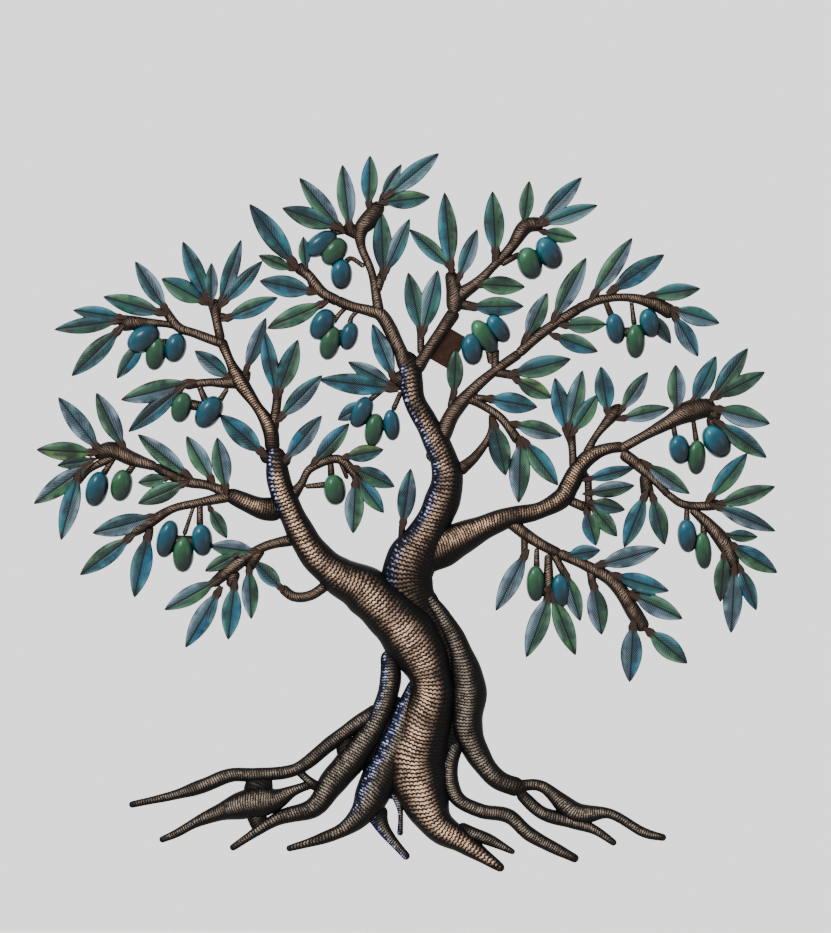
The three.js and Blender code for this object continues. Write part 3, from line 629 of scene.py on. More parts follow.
def scatter(number, seed):
    """A repeatable number from 0 to 1 for each whole number."""
    return np.modf(np.abs(np.sin(number * 12.9898 + seed * 78.233)) * 43758.5453)[0]


def into_sheet(x, lift, z):
    """Loops from places on the sheet and how far each point is lifted from its back, in mm."""
    return np.stack([x, RIM - lift, z], axis=-1)


# %% [markdown]
# ## Limbs
# A limb is a strip that bulges between its two cut edges. A curve object with a bevel would give
# a pipe, but this relief is flat behind and tapers all the time, so the section is carried along
# a smooth curve instead. Catmull-Rom is used because it passes through the bends themselves.

# %% Even stations along a limb
CURVE_POINTS = 40     # fine steps from one bend to the next
LEAST_STATIONS = 4


def stations(bends, step):
    """Centre, width and distance along, every `step` mm of the curve through the bends."""
    bends = np.array(bends, float)
    ends = np.vstack([2 * bends[0] - bends[1], bends, 2 * bends[-1] - bends[-2]])
    t = np.linspace(0, 1, CURVE_POINTS, endpoint=False)[:, None]
    runs = []
    for a, b, c, d in zip(ends[:-3], ends[1:-2], ends[2:-1], ends[3:]):
        runs.append(0.5 * (2 * b + (c - a) * t + (2 * a - 5 * b + 4 * c - d) * t**2
                           + (3 * b - a - 3 * c + d) * t**3))
    curve = np.vstack([*runs, bends[-1:]])
    along = np.concatenate([[0], np.cumsum(np.hypot(*np.diff(curve[:, :2], axis=0).T))])
    even = np.linspace(0, along[-1], max(LEAST_STATIONS, math.ceil(along[-1] / step)))
    return np.column_stack([np.interp(even, along, curve[:, k]) for k in range(3)]), even


def sideways(centres):
    """Unit vector across the limb at each station, to the left of the way it runs."""
    way = np.gradient(centres[:, :2], axis=0)
    way /= np.linalg.norm(way, axis=1)[:, None]
    return np.column_stack([-way[:, 1], way[:, 0]])


print("stations on the main strand:", len(stations(MAIN_STRAND, 1.0)[1]), "at 1 mm each")

# %% [markdown]
# ## Hammer marks
# The trunk is covered in short raised marks in wavy rows across the strands, struck from behind
# one by one. A texture could only paint them. They are big enough to catch the light and break
# the outline of the relief, so they are real bumps, and the painter's note `mark` holds the same
# pattern, which puts the bronze exactly on the raised steel.

# %% Rows of marks
ROW_PITCH = 3.2       # mm from one row to the next
MARK_PITCH = 3.4      # mm from one mark to the next in its row
MARK_HEIGHT = 0.9
ARC_LEAST = 0.85      # mm that the middle of a mark bows along the limb
ARC_CHANCE = 0.6
FAINTEST_BLOW = 0.55  # height of the lightest blow, as a share of the heaviest
MARK_END = 0.65       # height at the ends of a mark, as a share of its middle


def hammer_marks(along, across, seed):
    """How far each point is raised by the marks, from 0 to 1."""
    wave = 1.1 * np.sin(across / 5.2 + seed) + 0.8 * np.sin(along / 13 + across / 9 + 2 * seed)
    level = np.floor((along + wave) / ROW_PITCH)
    place = across / MARK_PITCH + 0.5 * scatter(level, seed)
    middle = np.abs(np.sin(np.pi * place))
    arc = (ARC_LEAST + ARC_CHANCE * scatter(level * 13 + np.floor(place) * 7, seed)) * middle
    row = (along + wave + arc) / ROW_PITCH
    row_number = np.floor(row)
    blow = scatter(row_number * 17 + np.floor(place) * 5, seed + 2)
    ridge = np.sin(np.pi * (row - row_number)) ** 1.3
    strength = FAINTEST_BLOW + (1 - FAINTEST_BLOW) * blow
    return strength * ridge * (MARK_END + (1 - MARK_END) * middle)


print("marks, mm:", MARK_PITCH, "wide, in rows", ROW_PITCH, "apart")


# %% [markdown]
# ## Forging one limb
# A real limb never stops like a sausage: it thins, and it sinks back to the level of the sheet
# before it meets the next one. Joining the limbs with booleans would round nothing and could
# fail on so many marks. So each limb's height eases down near its ends, where it slips under its
# neighbour. The same easing fades the bronze there, as painted shade under the neighbour.

# %% Ends that thin and sink
TIP_WIDTH = 0.15      # width of a blunt tip, as a share of the limb's own
LEAST_HALF = 0.4      # mm, so that no tip closes to a point
LOW_END = 0.3         # height left where a limb sinks, as a share of the full height


def wandering_width(widths, along, seed):
    """Widths that vary by a few hundredths, as a hand-cut edge does."""
    return widths * (1 + 0.03 * np.sin(along / 9 + seed) + 0.02 * np.sin(along / 4 + 2 * seed))


def sinking(to_end, width, hammered):
    """From 0 at the ends of a limb, smoothly, to 1 where it has its full height."""
    run = (1.4 if hammered else 0.6) * width + 2
    share = np.clip(to_end / run, 0, 1)
    return share * share * (3 - 2 * share)


def half_width(width, to_end):
    """Half the width at each station, rounded off like half a coin at the ends."""
    blunt = np.clip(to_end / (0.5 * width), 0, 1)
    rounding = np.sqrt(1 - (1 - blunt) ** 2)
    return np.maximum(width / 2 * (TIP_WIDTH + (1 - TIP_WIDTH) * rounding), LEAST_HALF)


# %% One limb
FULL_MARKS = 24       # mm; narrower limbs are struck with smaller tools
SMALLEST_TOOL = 0.62  # size of the smallest marks, as a share of the largest
CREST_POWER = 2.3     # a higher power gives a broader crest
FLANK_POWER = 0.62    # a lower power gives steeper flanks


def forge_limb(blank, bends, step, cut, hammered, seed, height=LIMB_RISE_MAX, bronze=1.0, cool=(0, 1)):
    """Adds one limb: `step` mm between stations, `cut` mm between points across."""
    centres, along = stations(bends, step)
    width = wandering_width(centres[:, 2], along, seed)
    to_end = np.minimum(along, along[-1] - along)
    sink = sinking(to_end, width, hammered)
    side = sideways(centres)
    side_x = side[:, 0, None]
    side_z = side[:, 1, None]
    u, behind = around_sheet(max(7, math.ceil(width.max() / cut) | 1))
    across = half_width(width, to_end)[:, None] * u
    far = along[:, None] + 0 * across

    size = np.clip(np.median(width) / FULL_MARKS, SMALLEST_TOOL, 1)
    crest = np.clip(1 - np.abs(u) ** 4, 0, 1) * (1 - behind)
    mark = hammer_marks(far / size, across / size, seed) * crest if hammered else 0 * across
    rise = (np.minimum(width * LIMB_RISE, height) * (LOW_END + (1 - LOW_END) * sink))[:, None]
    swell = (1 - np.abs(u) ** CREST_POWER) ** FLANK_POWER
    lift = (rise - SHEET).clip(0.5) * swell + SHEET * (1 - behind) + MARK_HEIGHT * size * mark * swell
    loops = into_sheet(centres[:, 0, None] + side_x * across, lift, centres[:, 1, None] + side_z * across)

    # Painted light and shade: the lightest band is shifted from the crest to the upper left, so flanks
    # facing right and down stay dark. It also fades where a limb sinks under its neighbour, as painted
    # shade, and towards the far end of a twig.
    lit_crown = u + 0.2 * side_x - 0.2 * side_z
    bare = sink if hammered else np.clip((along[-1] - along) / (1.6 * width) - 0.1, 0, 1)
    rub_and_light = bronze * np.clip(1.3 - 1.9 * np.abs(lit_crown), 0, 1) * (0.1 + 0.9 * bare[:, None])
    strength, run = cool
    # Painted cold light: flanks facing left turn navy, fading down the limb.
    faces_left = np.clip(-side_x * u * 1.4 - 0.1, 0, 1)
    navy = strength * np.clip(1.3 - far / run, 0, 1) * faces_left
    notes = {"along": far, "across": across, "edge": np.abs(u), "mark": mark, "rub_and_light": rub_and_light,
             "cool": navy, "back": behind}
    blank.loft(loops, notes, np.zeros(len(u), int))


# %% [markdown]
# ## Leaves
# Each leaf is cut as a lance shape, then creased down the middle so that both halves dome up.
# A subdivided plane would need its outline pushed into place. Here the width is a formula of the
# distance along the leaf, and the crease and the two domes are a formula of the distance across.

# %% One leaf
LEAF_STATIONS = 44
LEAF_POINTS = 13
LEAF_ARCH = 0.9       # mm that the whole leaf bows out at its middle
FOOT_RISE = 1.8       # mm that its foot lies above its twig's edge
FOOT_SHARE = 0.22     # how far up the leaf that rise has faded


def leaf_width(share):
    """Width of a leaf along its length, 1 at its widest, and of the stalk below it."""
    lance = 1.05 * np.sin(np.pi * np.clip(share, 0, 1) ** 0.9) ** 0.78
    stalk = (0.5 - 1.0 * share.clip(0)) * (1 + share.clip(-0.2, 0) / 0.21) ** 0.75
    return np.maximum(lance, stalk)


def beat_leaf(blank, row, layer, paints):
    """Adds one leaf, `layer` mm further out than the sheet."""
    x0, z0, x1, z1, width, colours = row
    length = math.hypot(x1 - x0, z1 - z0)
    way = np.array([x1 - x0, z1 - z0]) / length
    side = np.array([-way[1], way[0]])
    even = np.linspace(0, 1, LEAF_STATIONS)
    along = -LEAF_ROOT + (length + LEAF_ROOT) * (0.5 - 0.5 * np.cos(np.pi * even)) ** 0.93
    share = along / length
    half = np.maximum(width / 2 * leaf_width(share), 0.12)
    u, behind = around_sheet(LEAF_POINTS)
    across = half[:, None] * u

    dome = np.sin(np.pi * (0.14 + 0.86 * np.abs(u))) ** 0.8
    fullness = np.clip(half / (width / 2), 0, 1)[:, None] ** 0.7
    thin = np.minimum(1, half[:, None])
    arch = LEAF_ARCH * np.sin(np.pi * share.clip(0, 1))[:, None]
    foot = FOOT_RISE * (1 - share.clip(0) / FOOT_SHARE).clip(0)[:, None] * thin
    lift = LEAF_RISE * dome * fullness + SHEET * (1 - behind) * thin + layer + arch + foot
    x = x0 + way[0] * along[:, None] + side[0] * across
    z = z0 + way[1] * along[:, None] + side[1] * across
    notes = {"along": along[:, None], "across": across, "edge": np.abs(u),
             "share": share[:, None].clip(0, 1), "back": behind}
    middle = (u + np.roll(u, -1)) / 2
    paint = np.where(middle > 0, paints[colours[0]], paints[colours[1]])
    blank.loft(into_sheet(x, lift, z), notes, paint)


print("width of a leaf halfway along, of its widest:", round(float(leaf_width(np.array(0.5))), 2))


# %% [markdown]
# ## Olives
# An olive is the deepest bulge for its width, punched into a hollow block so that it stands like
# half an egg. A scaled sphere cut in half is quick, but it has no rim of sheet around it. Each
# one is lofted from end to end, with the thickness of the steel under its edge.

# %% One olive
OLIVE_STATIONS = 29
OLIVE_POINTS = 17
SHARPEST_END = 0.0016  # keeps the two ends just open, so that no face is crushed


def punch_olive(blank, row, paints):
    """Adds one olive, leaning `lean` degrees from the level."""
    x, z, lean, length, width, colour = row
    turn = math.radians(lean)
    climb = np.linspace(-1, 1, OLIVE_STATIONS)
    u, behind = around_sheet(OLIVE_POINTS)
    round_off = np.sqrt(np.clip(1 - np.abs(climb) ** 2.15, SHARPEST_END, 1))[:, None]
    along = (climb * length / 2)[:, None]
    across = width / 2 * round_off * u
    swell = np.sqrt(np.clip(1 - np.abs(u) ** 2.1, 0, 1)) * round_off
    lift = (width * OLIVE_RISE) * swell + SHEET * (1 - behind) * np.minimum(1, 3 * round_off)
    right = math.cos(turn) * along - math.sin(turn) * across
    up = math.sin(turn) * along + math.cos(turn) * across
    notes = {"along": right, "across": up, "edge": np.hypot(u, climb[:, None]).clip(0, 1),
             "back": behind}
    blank.loft(into_sheet(x + right, lift, z + up), notes, np.full(len(u), paints[colour]))


print("an olive 18 mm wide stands out, mm:", round(18 * OLIVE_RISE + SHEET, 1))


# %% [markdown]
# ## Mixing paint
# Every finish is a small network of nodes. The networks could be wired by hand in the shader
# editor, but the finishes share the same steps, such as reading a note or mixing two colours. So
# a pot of paint is a helper with one short method for each step.

# %% A pot of paint
BACK_BROWN = "#2a1f1a"
VARNISH_ROUGHNESS = 0.22


def tone(code):
    """A colour written as six hex digits, as the linear values that shaders use."""
    parts = [int(code[i:i + 2], 16) / 255 for i in (1, 3, 5)]
    return [p / 12.92 if p < 0.04045 else ((p + 0.055) / 1.055) ** 2.4 for p in parts] + [1.0]


class Pot:
    """One painted finish, built step by step."""

    def __init__(self, name, roughness, coat, gloss=0.4):
        self.material = bpy.data.materials.new(name)
        self.material.use_nodes = True
        self.tree = self.material.node_tree
        self.shader = self.tree.nodes["Principled BSDF"]
        self.shader.inputs["Roughness"].default_value = roughness
        self.shader.inputs["Specular IOR Level"].default_value = gloss
        self.shader.inputs["Coat Weight"].default_value = coat
        self.shader.inputs["Coat Roughness"].default_value = VARNISH_ROUGHNESS

    def put(self, value, socket):
        """Joins another step to a socket, or sets the socket to a plain value."""
        if isinstance(value, bpy.types.NodeSocket):
            self.tree.links.new(value, socket)
        else:
            socket.default_value = value

    def note(self, name):
        """Reads one of the notes kept on the points."""
        node = self.tree.nodes.new("ShaderNodeAttribute")
        node.attribute_name = name
        return node.outputs["Fac"]

    def sum(self, how, a, b=0.0):
        """One step of arithmetic."""
        node = self.tree.nodes.new("ShaderNodeMath")
        node.operation = how
        self.put(a, node.inputs[0])
        self.put(b, node.inputs[1])
        return node.outputs[0]

    def times(self, a, b):
        return self.sum("MULTIPLY", a, b)

    def plus(self, a, b):
        return self.sum("ADD", a, b)

    def between(self, value, low, high):
        """Rises smoothly from 0 at low to 1 at high, and falls if low is the larger."""
        node = self.tree.nodes.new("ShaderNodeMapRange")
        node.interpolation_type = "SMOOTHSTEP"
        self.put(value, node.inputs["Value"])
        node.inputs["From Min"].default_value = low
        node.inputs["From Max"].default_value = high
        return node.outputs["Result"]

    def blend(self, share, a, b):
        """Mixes colour b into colour a."""
        node = self.tree.nodes.new("ShaderNodeMix")
        node.data_type = "RGBA"
        self.put(share, node.inputs["Factor"])
        self.put(a, node.inputs["A"])
        self.put(b, node.inputs["B"])
        return node.outputs["Result"]

    def noise(self, scale, detail=3.0):
        """Cloudy patches, about `scale` of them to a metre."""
        node = self.tree.nodes.new("ShaderNodeTexNoise")
        node.inputs["Scale"].default_value = scale
        node.inputs["Detail"].default_value = detail
        place = self.tree.nodes.new("ShaderNodeTexCoord").outputs["Object"]
        self.put(place, node.inputs["Vector"])
        return node.outputs["Fac"]

    def finish(self, colour, height=None, depth=0.0002):
        """Lays the colour on the front and brown on the back, with fine relief if asked."""
        bare = self.blend(self.note("back"), colour, tone(BACK_BROWN))
        self.put(bare, self.shader.inputs["Base Color"])
        if height is not None:
            bump = self.tree.nodes.new("ShaderNodeBump")
            bump.inputs["Distance"].default_value = depth
            self.put(height, bump.inputs["Height"])
            self.put(bump.outputs["Normal"], self.shader.inputs["Normal"])
        return self.material


# %% [markdown]
# ## Bark paint
# The trunk is first painted near-black. Bronze is then rubbed over it with an almost dry cloth,
# so it stays only on the raised marks, lightest on the crest of each strand. That light band is
# shifted to the upper left and the flanks facing right and down are left dark: painted light and
# shade. The left flanks are navy with pale lilac on their raised marks, a painted cold light from
# the left. Painting each strand by hand would take a picture for every one. Notes on the points say
# where steel is raised, how near it is to the lit crest and where a flank faces left, so the same
# two layers serve every strand.

# %% Bark paint
def bark_paint(name, dull, bright):
    """dull is the bronze where it is rubbed thin, bright where it is thick and where the painted
    highlight lies on the crest.
    """
    pot = Pot(name, roughness=0.55, coat=0.0, gloss=0.06)
    mark = pot.note("mark")
    edge = pot.note("edge")
    rub_and_light = pot.note("rub_and_light")
    grain = pot.noise(900.0, detail=2.0)
    patch = pot.noise(45.0)
    # Painted cold light: left-facing flanks go navy, with pale lilac specks on their raised marks.
    cool = pot.between(pot.times(pot.note("cool"), pot.plus(patch, 0.5)), 0.15, 0.85)
    rubbed = pot.between(pot.plus(mark, pot.times(grain, 0.2)), 0.38, 0.76)
    # Painted highlight: the thick, bright bronze gathers on the lit crest, in random patches.
    rub_and_highlight = pot.times(rub_and_light, pot.between(patch, 0.2, 0.6))
    bronze = pot.blend(rub_and_highlight, tone(dull), tone(bright))
    # Painted light: the black ground is a little lighter towards the lit crest.
    ground = pot.blend(rub_and_light, tone("#060505"), tone("#150f0c"))
    # Bronze shows mostly near the lit crest. The far flanks are left as painted shade.
    shown = pot.plus(0.08, pot.times(rub_and_light, 0.9))
    warm = pot.blend(pot.times(rubbed, shown), ground, bronze)
    speck = pot.between(pot.noise(230.0, detail=1.0), 0.42, 0.62)
    lilac = pot.blend(speck, tone("#141c44"), tone("#a8b4dc"))
    cold = pot.blend(rubbed, tone("#04050f"), lilac)
    colour = pot.blend(cool, warm, cold)
    rim = pot.between(edge, 0.84, 0.99)
    return pot.finish(pot.blend(rim, colour, tone("#0b090b")), grain, 0.00012)


# %% [markdown]
# ## Twig paint
# Twigs and upper boughs are dark brown, with fine oblique strokes of lighter brown that follow
# the tool marks. The strokes are finer than the mesh could hold, so they are a wave in the
# coordinates that the notes `along` and `across` give, which lines them up with every bend. Some
# noise bends the wave and leaves gaps in it, as a dry brush does.

# %% Twig paint
STROKE_PITCH = 1.9    # mm


def twig_paint():
    pot = Pot("twig_paint", roughness=0.55, coat=0.0, gloss=0.08)
    along = pot.note("along")
    across = pot.note("across")
    rough = pot.noise(260.0, detail=2.0)
    bent = pot.plus(pot.times(across, 0.5), pot.times(rough, 4.5))
    wave = pot.sum("SINE", pot.times(pot.plus(along, bent), 2 * math.pi / STROKE_PITCH))
    stroke = pot.times(pot.between(wave, -0.6, 0.8), pot.between(pot.noise(120.0), 0.25, 0.6))
    # Painted highlight: the crest is lighter and holds more strokes. It is shifted to the upper left with
    # the light and fades towards the far end.
    crest = pot.times(pot.between(pot.note("edge"), 0.95, 0.15), pot.note("rub_and_light"))
    base = pot.blend(crest, tone("#060403"), tone("#281c15"))
    light = pot.blend(pot.noise(60.0), tone("#4a3a2f"), tone("#b39b87"))
    share = pot.times(stroke, pot.plus(0.05, pot.times(crest, 0.7)))
    return pot.finish(pot.blend(share, base, light), stroke, 0.0004)


# %% [markdown]
# ## Leaf paint
# A leaf has one colour on each half, light strokes for the veins, painted shade along the crease
# with a dark line down it, a dark line of painted shade along the cut edge and a tip of purple black,
# and its foot is brown like its twig. A picture of a leaf would make all of them alike. Here each
# half takes one of six pots, dealt out by the pattern, and noise in the tree's own space makes every
# leaf a little different. The veins are a wave in the leaf's own coordinates, so they slant away
# from the crease.

# %% Leaf paint
VEIN_PITCH = 2.1      # mm
VEIN_SLANT = 1.25     # mm along the leaf for each mm across it


def leaf_paint(name, deep, body, patch, light):
    """deep is for dark patches and the painted shade by the crease, body and patch for the two hues,
    light for veins and worn edges.
    """
    pot = Pot(name, roughness=0.42, coat=0.04, gloss=0.15)
    along = pot.note("along")
    across = pot.sum("ABSOLUTE", pot.note("across"))
    edge = pot.note("edge")
    share = pot.note("share")
    slant = pot.sum("SUBTRACT", along, pot.times(across, VEIN_SLANT))
    wave = pot.sum("SINE", pot.times(slant, 2 * math.pi / VEIN_PITCH))
    vein = pot.times(pot.between(wave, 0.1, 0.95), pot.between(edge, 0.97, 0.6))
    broad = pot.noise(80.0, detail=2.0)
    worn = pot.noise(75.0, detail=2.0)
    # Painted shade: darker towards the crease, where the two domes dip.
    crease_shade = pot.times(pot.between(edge, 0.45, 0.05), 0.55)
    two_hues = pot.blend(pot.between(pot.noise(52.0, detail=1.0), 0.45, 0.6), tone(body), tone(patch))
    colour = pot.blend(pot.between(broad, 0.38, 0.62), tone(deep), two_hues)
    pale = pot.times(pot.between(edge, 0.4, 0.9), pot.between(worn, 0.35, 0.65))
    crease_shaded = pot.blend(crease_shade, colour, tone(deep))
    faded = pot.blend(pot.times(pale, 0.5), crease_shaded, tone(light))
    veined = pot.blend(pot.times(vein, pot.times(worn, 0.55)), faded, tone(light))
    # Painted shade: a near-black line down the crease groove.
    crease = pot.between(across, 0.9, 0.25)
    creased = pot.blend(pot.times(crease, 0.95), veined, tone("#03080b"))
    # Painted shade: a dark line along the cut edge, where the dome turns away.
    edge_shade = pot.between(edge, 0.88, 0.98)
    edge_shaded = pot.blend(pot.times(edge_shade, 0.85), creased, tone("#071216"))
    tipped = pot.blend(pot.between(share, 0.87, 0.99), edge_shaded, tone("#0b0910"))
    foot = pot.between(share, 0.14, 0.02)
    brown = pot.blend(pot.between(edge, 0.9, 0.3), tone("#0a0503"), tone("#2a1a11"))
    return pot.finish(pot.blend(foot, tipped, brown), vein, 0.00025)


# %% [markdown]
# ## Olive paint
# Olives are glossier than the rest: a blue or green under a clear coat, with painted shade that
# deepens towards the lower right and round the rim, and a painted highlight on the upper left.
# The light alone would shade them, and the paint makes it stronger. The notes `along` and `across`
# hold the distance from the middle of the fruit, to the right and up, so the painted shade and
# highlight fall the same way on all of them, whatever their lean.

# %% Olive paint
def olive_paint(name, deep, body, light):
    """deep is the painted shade on the lower right, body the middle and light the painted highlight on
    the upper left.
    """
    pot = Pot(name, roughness=0.24, coat=0.15, gloss=0.12)
    right = pot.note("along")
    up = pot.note("across")
    # Painted shade and highlight: darker towards the lower right, lighter towards the upper left.
    shade_fall = pot.sum("SUBTRACT", pot.times(up, 0.8), pot.times(right, 0.9))
    height = pot.plus(shade_fall, pot.times(pot.noise(160.0), 6.0))
    colour = pot.blend(pot.between(height, -7.0, 12.0), tone(deep), tone(body))
    # Painted highlight on the upper left.
    bright = pot.between(height, 8.0, 18.0)
    with_highlight = pot.blend(pot.times(bright, 0.6), colour, tone(light))
    # Painted shade around the rim.
    rim = pot.between(pot.note("edge"), 0.8, 1.0)
    shaded = pot.blend(pot.times(rim, 0.55), with_highlight, tone(deep))
    return pot.finish(shaded, pot.noise(700.0), 0.00006)


# %% Mix the paints
BARK = bark_paint("bark_paint", "#41362f", "#d0ab8e")
ROOT = bark_paint("root_paint", "#36312c", "#b0a08f")
TWIG = twig_paint()
LEAF_PAINTS = {
    "T": leaf_paint("leaf_teal", "#020e13", "#053039", "#0a3a30", "#51808a"),
    "G": leaf_paint("leaf_green", "#03120e", "#0e3329", "#224829", "#5f836f"),
    "B": leaf_paint("leaf_blue", "#02121c", "#033e54", "#05474e", "#538494"),
    "S": leaf_paint("leaf_silver", "#0d1e26", "#233c46", "#1d4544", "#8e9fb0"),
    "D": leaf_paint("leaf_slate", "#03090c", "#0c2127", "#0f2923", "#445d66"),
    "O": leaf_paint("leaf_olive", "#08160a", "#1b361b", "#334f22", "#6f8662"),
}
OLIVE_PAINTS = {
    "B": olive_paint("olive_blue", "#010d14", "#053746", "#2a7686"),
    "G": olive_paint("olive_green", "#041413", "#1a4027", "#41765a"),
}
print("paints mixed:", len([BARK, ROOT, TWIG, *LEAF_PAINTS, *OLIVE_PAINTS]))

# %% [markdown]
# ## The main strand
# The eye follows one broad strand from the left bough, across the trunk and down into the root
# in front. The frame has it as three pieces. Three lofts would show where they meet, so it is
# forged as one limb that takes the place of the three. Narrow limbs have smaller marks, so they
# take a finer mesh.

# %% The main strand
STATION_STEP = 0.55   # mm along a limb, for limbs with the largest marks
POINT_STEP = 0.8      # mm across it


def hammered_piece(name, nodes, slot, limbs, paint, **ways):
    """One mesh of hammered limbs, in place of the frame's nodes."""
    blank = Blank()
    for number, bends in enumerate(limbs):
        fine = min(1.0, max(0.65, max(bend[2] for bend in bends) / FULL_MARKS))
        seed = len(name) + 3.7 * number
        forge_limb(blank, bends, STATION_STEP * fine, POINT_STEP * fine, True, seed, **ways)
    triangles = blank.make(name, nodes, [paint])
    print(name, "triangles:", triangles)


nodes = ["trunk", "bough_left", "root_main"]
hammered_piece("trunk_main_strand", nodes, "trunk", [MAIN_STRAND], BARK, cool=(1.3, 60))

# %% [markdown]
# ## The dark valleys
# Between the strands the real sheet is pushed back into shade. It could be left open, but
# then the wall would show through the trunk. Low limbs fill it, near-black with little bronze: painted
# shade.

# %% The dark valleys
VALLEYS = pattern["trunk"]["limbs"]
# Painted shade: the valleys get little bronze, so they stay near-black.
hammered_piece("trunk_valleys", ["trunk"], "trunk", VALLEYS, ROOT, height=4.5, bronze=0.12)

# %% [markdown]
# ## The other strands, roots and big boughs
# They are forged like the main strand, only lower, so that it stays in front. Roots are painted a
# little greyer than the wood above. Some flanks face the cold light on the left, and that light is
# painted on them as navy: for these, a pair gives how strong the navy is and how many millimetres
# it runs down the limb.

# %% The other strands, roots and big boughs
# Painted cold light on left-facing flanks: its strength, and how many mm it runs, for each piece.
NAVY = {"bough_centre": (0.95, 400), "root_front_left": (1.8, 150), "root_left_low": (1.2, 70),
        "root_inner_right": (0.7, 50), "bough_left_low": (0.7, 40)}
NO_NAVY = (0, 1)
# How much bronze, with its painted crest light, each kind of piece gets.
BRONZE = {"bough": 0.9, "trunk": 0.72}
HAMMERED = set(TRUNK_AND_ROOTS) | {"bough_left_upper", "bough_right_low", "bough_left_low"}
for node in sorted(HAMMERED - {"trunk"}):
    slot = "bough" if node in BOUGHS else "trunk"
    paint = ROOT if node.startswith("root") else BARK
    ways = {"height": 11.0, "cool": NAVY.get(node, NO_NAVY), "bronze": BRONZE[slot]}
    hammered_piece(node + "_relief", [node], slot, pattern[node]["limbs"], paint, **ways)

# %% [markdown]
# ## Twigs
# Twigs and the small boughs are cut and bulged like the trunk but not struck in rows, so their
# mesh can be coarser. All the twigs of one spray make one mesh, since they are one piece of steel.

# %% Twigs
twig_triangles = 0
for number, (node, rows) in enumerate(pattern.items()):
    if node in HAMMERED or "limbs" not in rows:
        continue
    blank = Blank()
    for branch, bends in enumerate(rows["limbs"]):
        forge_limb(blank, bends, 1.5, 1.1, False, number + 3.7 * branch)
    twig_triangles += blank.make(node + "_twigs", [node], [TWIG])
print("twig triangles:", twig_triangles)

# %% [markdown]
# ## Leaves and olives on their twigs
# In the real sheet a leaf and its twig are one piece of steel. They are apart here because they
# take different paints. Instances of one leaf would save memory, but no two are cut alike. Each
# leaf is lifted a little more than the last, in turns of three, so that two that cross don't
# share a surface.

# %% Leaves
LAYER = 0.5           # mm
leaf_index = {key: i for i, key in enumerate(LEAF_PAINTS)}
leaves = 0
leaf_triangles = 0
for node, rows in pattern.items():
    if "leaves" not in rows:
        continue
    blank = Blank()
    for number, row in enumerate(rows["leaves"]):
        beat_leaf(blank, row, LAYER * (number % 3), leaf_index)
    leaves += len(rows["leaves"])
    leaf_triangles += blank.make(node + "_leaves", [node], list(LEAF_PAINTS.values()))
print("leaves:", leaves, "triangles:", leaf_triangles)

# %% Olives
olive_index = {key: i for i, key in enumerate(OLIVE_PAINTS)}
olives = 0
olive_triangles = 0
for node, rows in pattern.items():
    if "olives" not in rows:
        continue
    blank = Blank()
    for row in rows["olives"]:
        punch_olive(blank, row, olive_index)
    olives += len(rows["olives"])
    olive_triangles += blank.make(node + "_fruit", [node], list(OLIVE_PAINTS.values()))
print("olives:", olives, "triangles:", olive_triangles)

# %% [markdown]
# ## The hanger
# The tree hangs on its nail by a plain plate behind the boughs. It could be modelled again, but
# the frame's plate has the right shape, so it stays and is only painted brown, a little uneven.

# %% Hanger paint
def hanger_paint():
    pot = Pot("hanger_paint", roughness=0.6, coat=0.0, gloss=0.05)
    grain = pot.noise(250.0)
    return pot.finish(pot.blend(grain, tone("#130b09"), tone("#36241b")), grain, 0.0001)


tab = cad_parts["hanger_tab"]
tab.data.materials.clear()
tab.data.materials.append(hanger_paint())
print("hanger painted:", tab.name)

# %% [markdown]
# ## Room and light
# The wall is left out, so that the back can be seen too, and the room is a pale floor below and a
# white sky. A sky alone would light it evenly and flatten the relief. So a soft lamp high on the
# left gives the highlights on the olives, and a weaker one on the right keeps the flanks readable.
# A third stands behind, for the brown back.

# %% Floor and light
FLOOR_Z = -0.52
FLOOR_NEAR_LEFT = (-2.0, -3.0)
FLOOR_FAR_RIGHT = (2.0, 0.3)
TREE_MIDDLE = (0, 0, -0.1)
SKY_STRENGTH = 1.7


def plate(name, low, high, z):
    """A level rectangle between two corners."""
    mesh = bpy.data.meshes.new(name)
    corners = [(low[0], low[1], z), (high[0], low[1], z), (high[0], high[1], z), (low[0], high[1], z)]
    mesh.from_pydata(corners, [], [(0, 1, 2, 3)])
    thing = bpy.data.objects.new(name, mesh)
    bpy.context.scene.collection.objects.link(thing)
    return thing


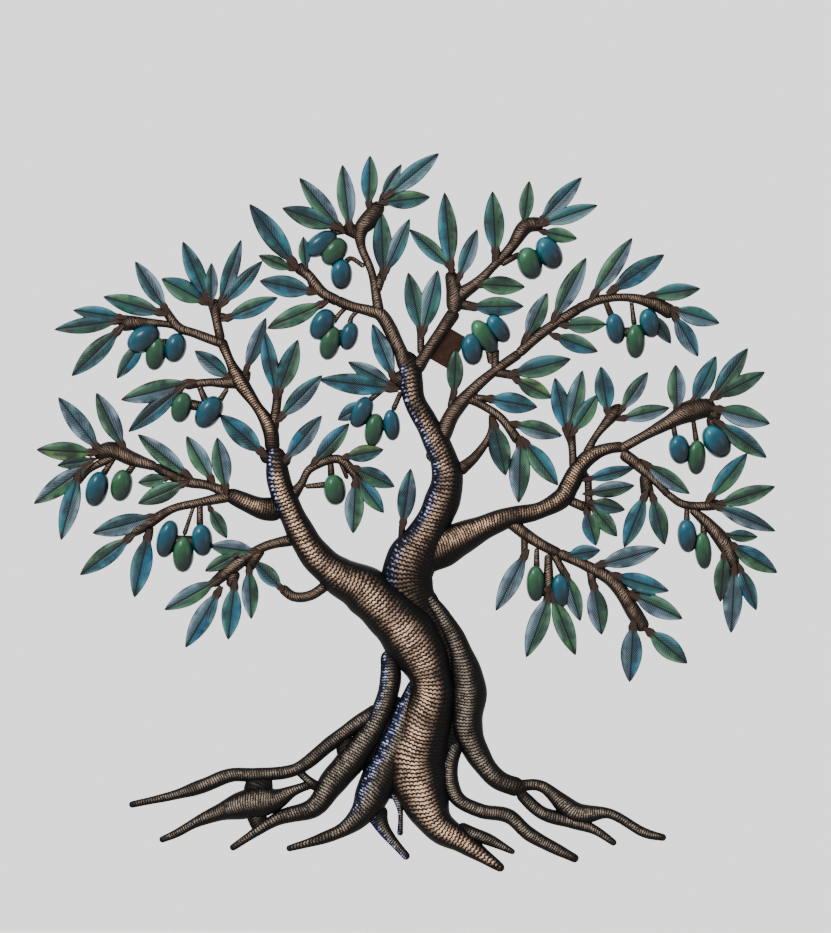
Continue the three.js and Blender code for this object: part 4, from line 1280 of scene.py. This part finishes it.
def lamp(name, place, size, power):
    """A round soft lamp, `size` m wide, turned towards the middle of the tree."""
    light = bpy.data.lights.new(name, "AREA")
    light.shape = "DISK"
    light.size = size
    light.energy = power
    thing = bpy.data.objects.new(name, light)
    thing.location = place
    way = np.array(TREE_MIDDLE) - np.array(place)
    yaw = math.atan2(way[1], way[0]) - math.pi / 2
    pitch = math.atan2(way[2], math.hypot(way[0], way[1]))
    thing.rotation_euler = (math.pi / 2 + pitch, 0, yaw)
    bpy.context.scene.collection.objects.link(thing)


floor = plate("floor", FLOOR_NEAR_LEFT, FLOOR_FAR_RIGHT, FLOOR_Z)
pale = Pot("floor_pale", roughness=0.9, coat=0.0)
floor.data.materials.append(pale.finish(pale.blend(pale.noise(3.0), tone("#f2f1ee"), tone("#f7f6f4"))))
lamp("lamp_high_left", (-1.2, -1.4, 1.3), 0.6, 42)
lamp("lamp_right", (1.5, -1.7, 0.2), 1.2, 6)
lamp("lamp_behind", (0.3, 1.8, 1.0), 1.2, 12)
world = bpy.data.worlds.new("white_studio")
world.use_nodes = True
sky = world.node_tree.nodes["Background"]
sky.inputs["Color"].default_value = (1, 1, 1, 1)
sky.inputs["Strength"].default_value = SKY_STRENGTH
bpy.context.scene.world = world
print("floor, m below the hanger:", -FLOOR_Z)

# %% [markdown]
# ## Camera
# The tree is looked at straight from the front. A camera near it would look past the edges of the
# relief and lean the outer leaves outwards. So it stands well back, and its lens is worked out
# from that distance and the width that it should take in.

# %% Camera
VIEW_CENTRE = (-0.0283, -0.0955)
VIEW_WIDTH = 0.6814
CAMERA_AWAY = 2.6
SENSOR_WIDTH = 36.0   # mm
camera_data = bpy.data.cameras.new("camera")
camera_data.sensor_fit = "HORIZONTAL"
camera_data.sensor_width = SENSOR_WIDTH
camera_data.lens = SENSOR_WIDTH * CAMERA_AWAY / VIEW_WIDTH
camera = bpy.data.objects.new("camera", camera_data)
camera.location = (VIEW_CENTRE[0], -CAMERA_AWAY, VIEW_CENTRE[1])
camera.rotation_euler = (math.pi / 2, 0, 0)
bpy.context.scene.collection.objects.link(camera)
bpy.context.scene.camera = camera
print("lens, mm:", round(camera_data.lens))
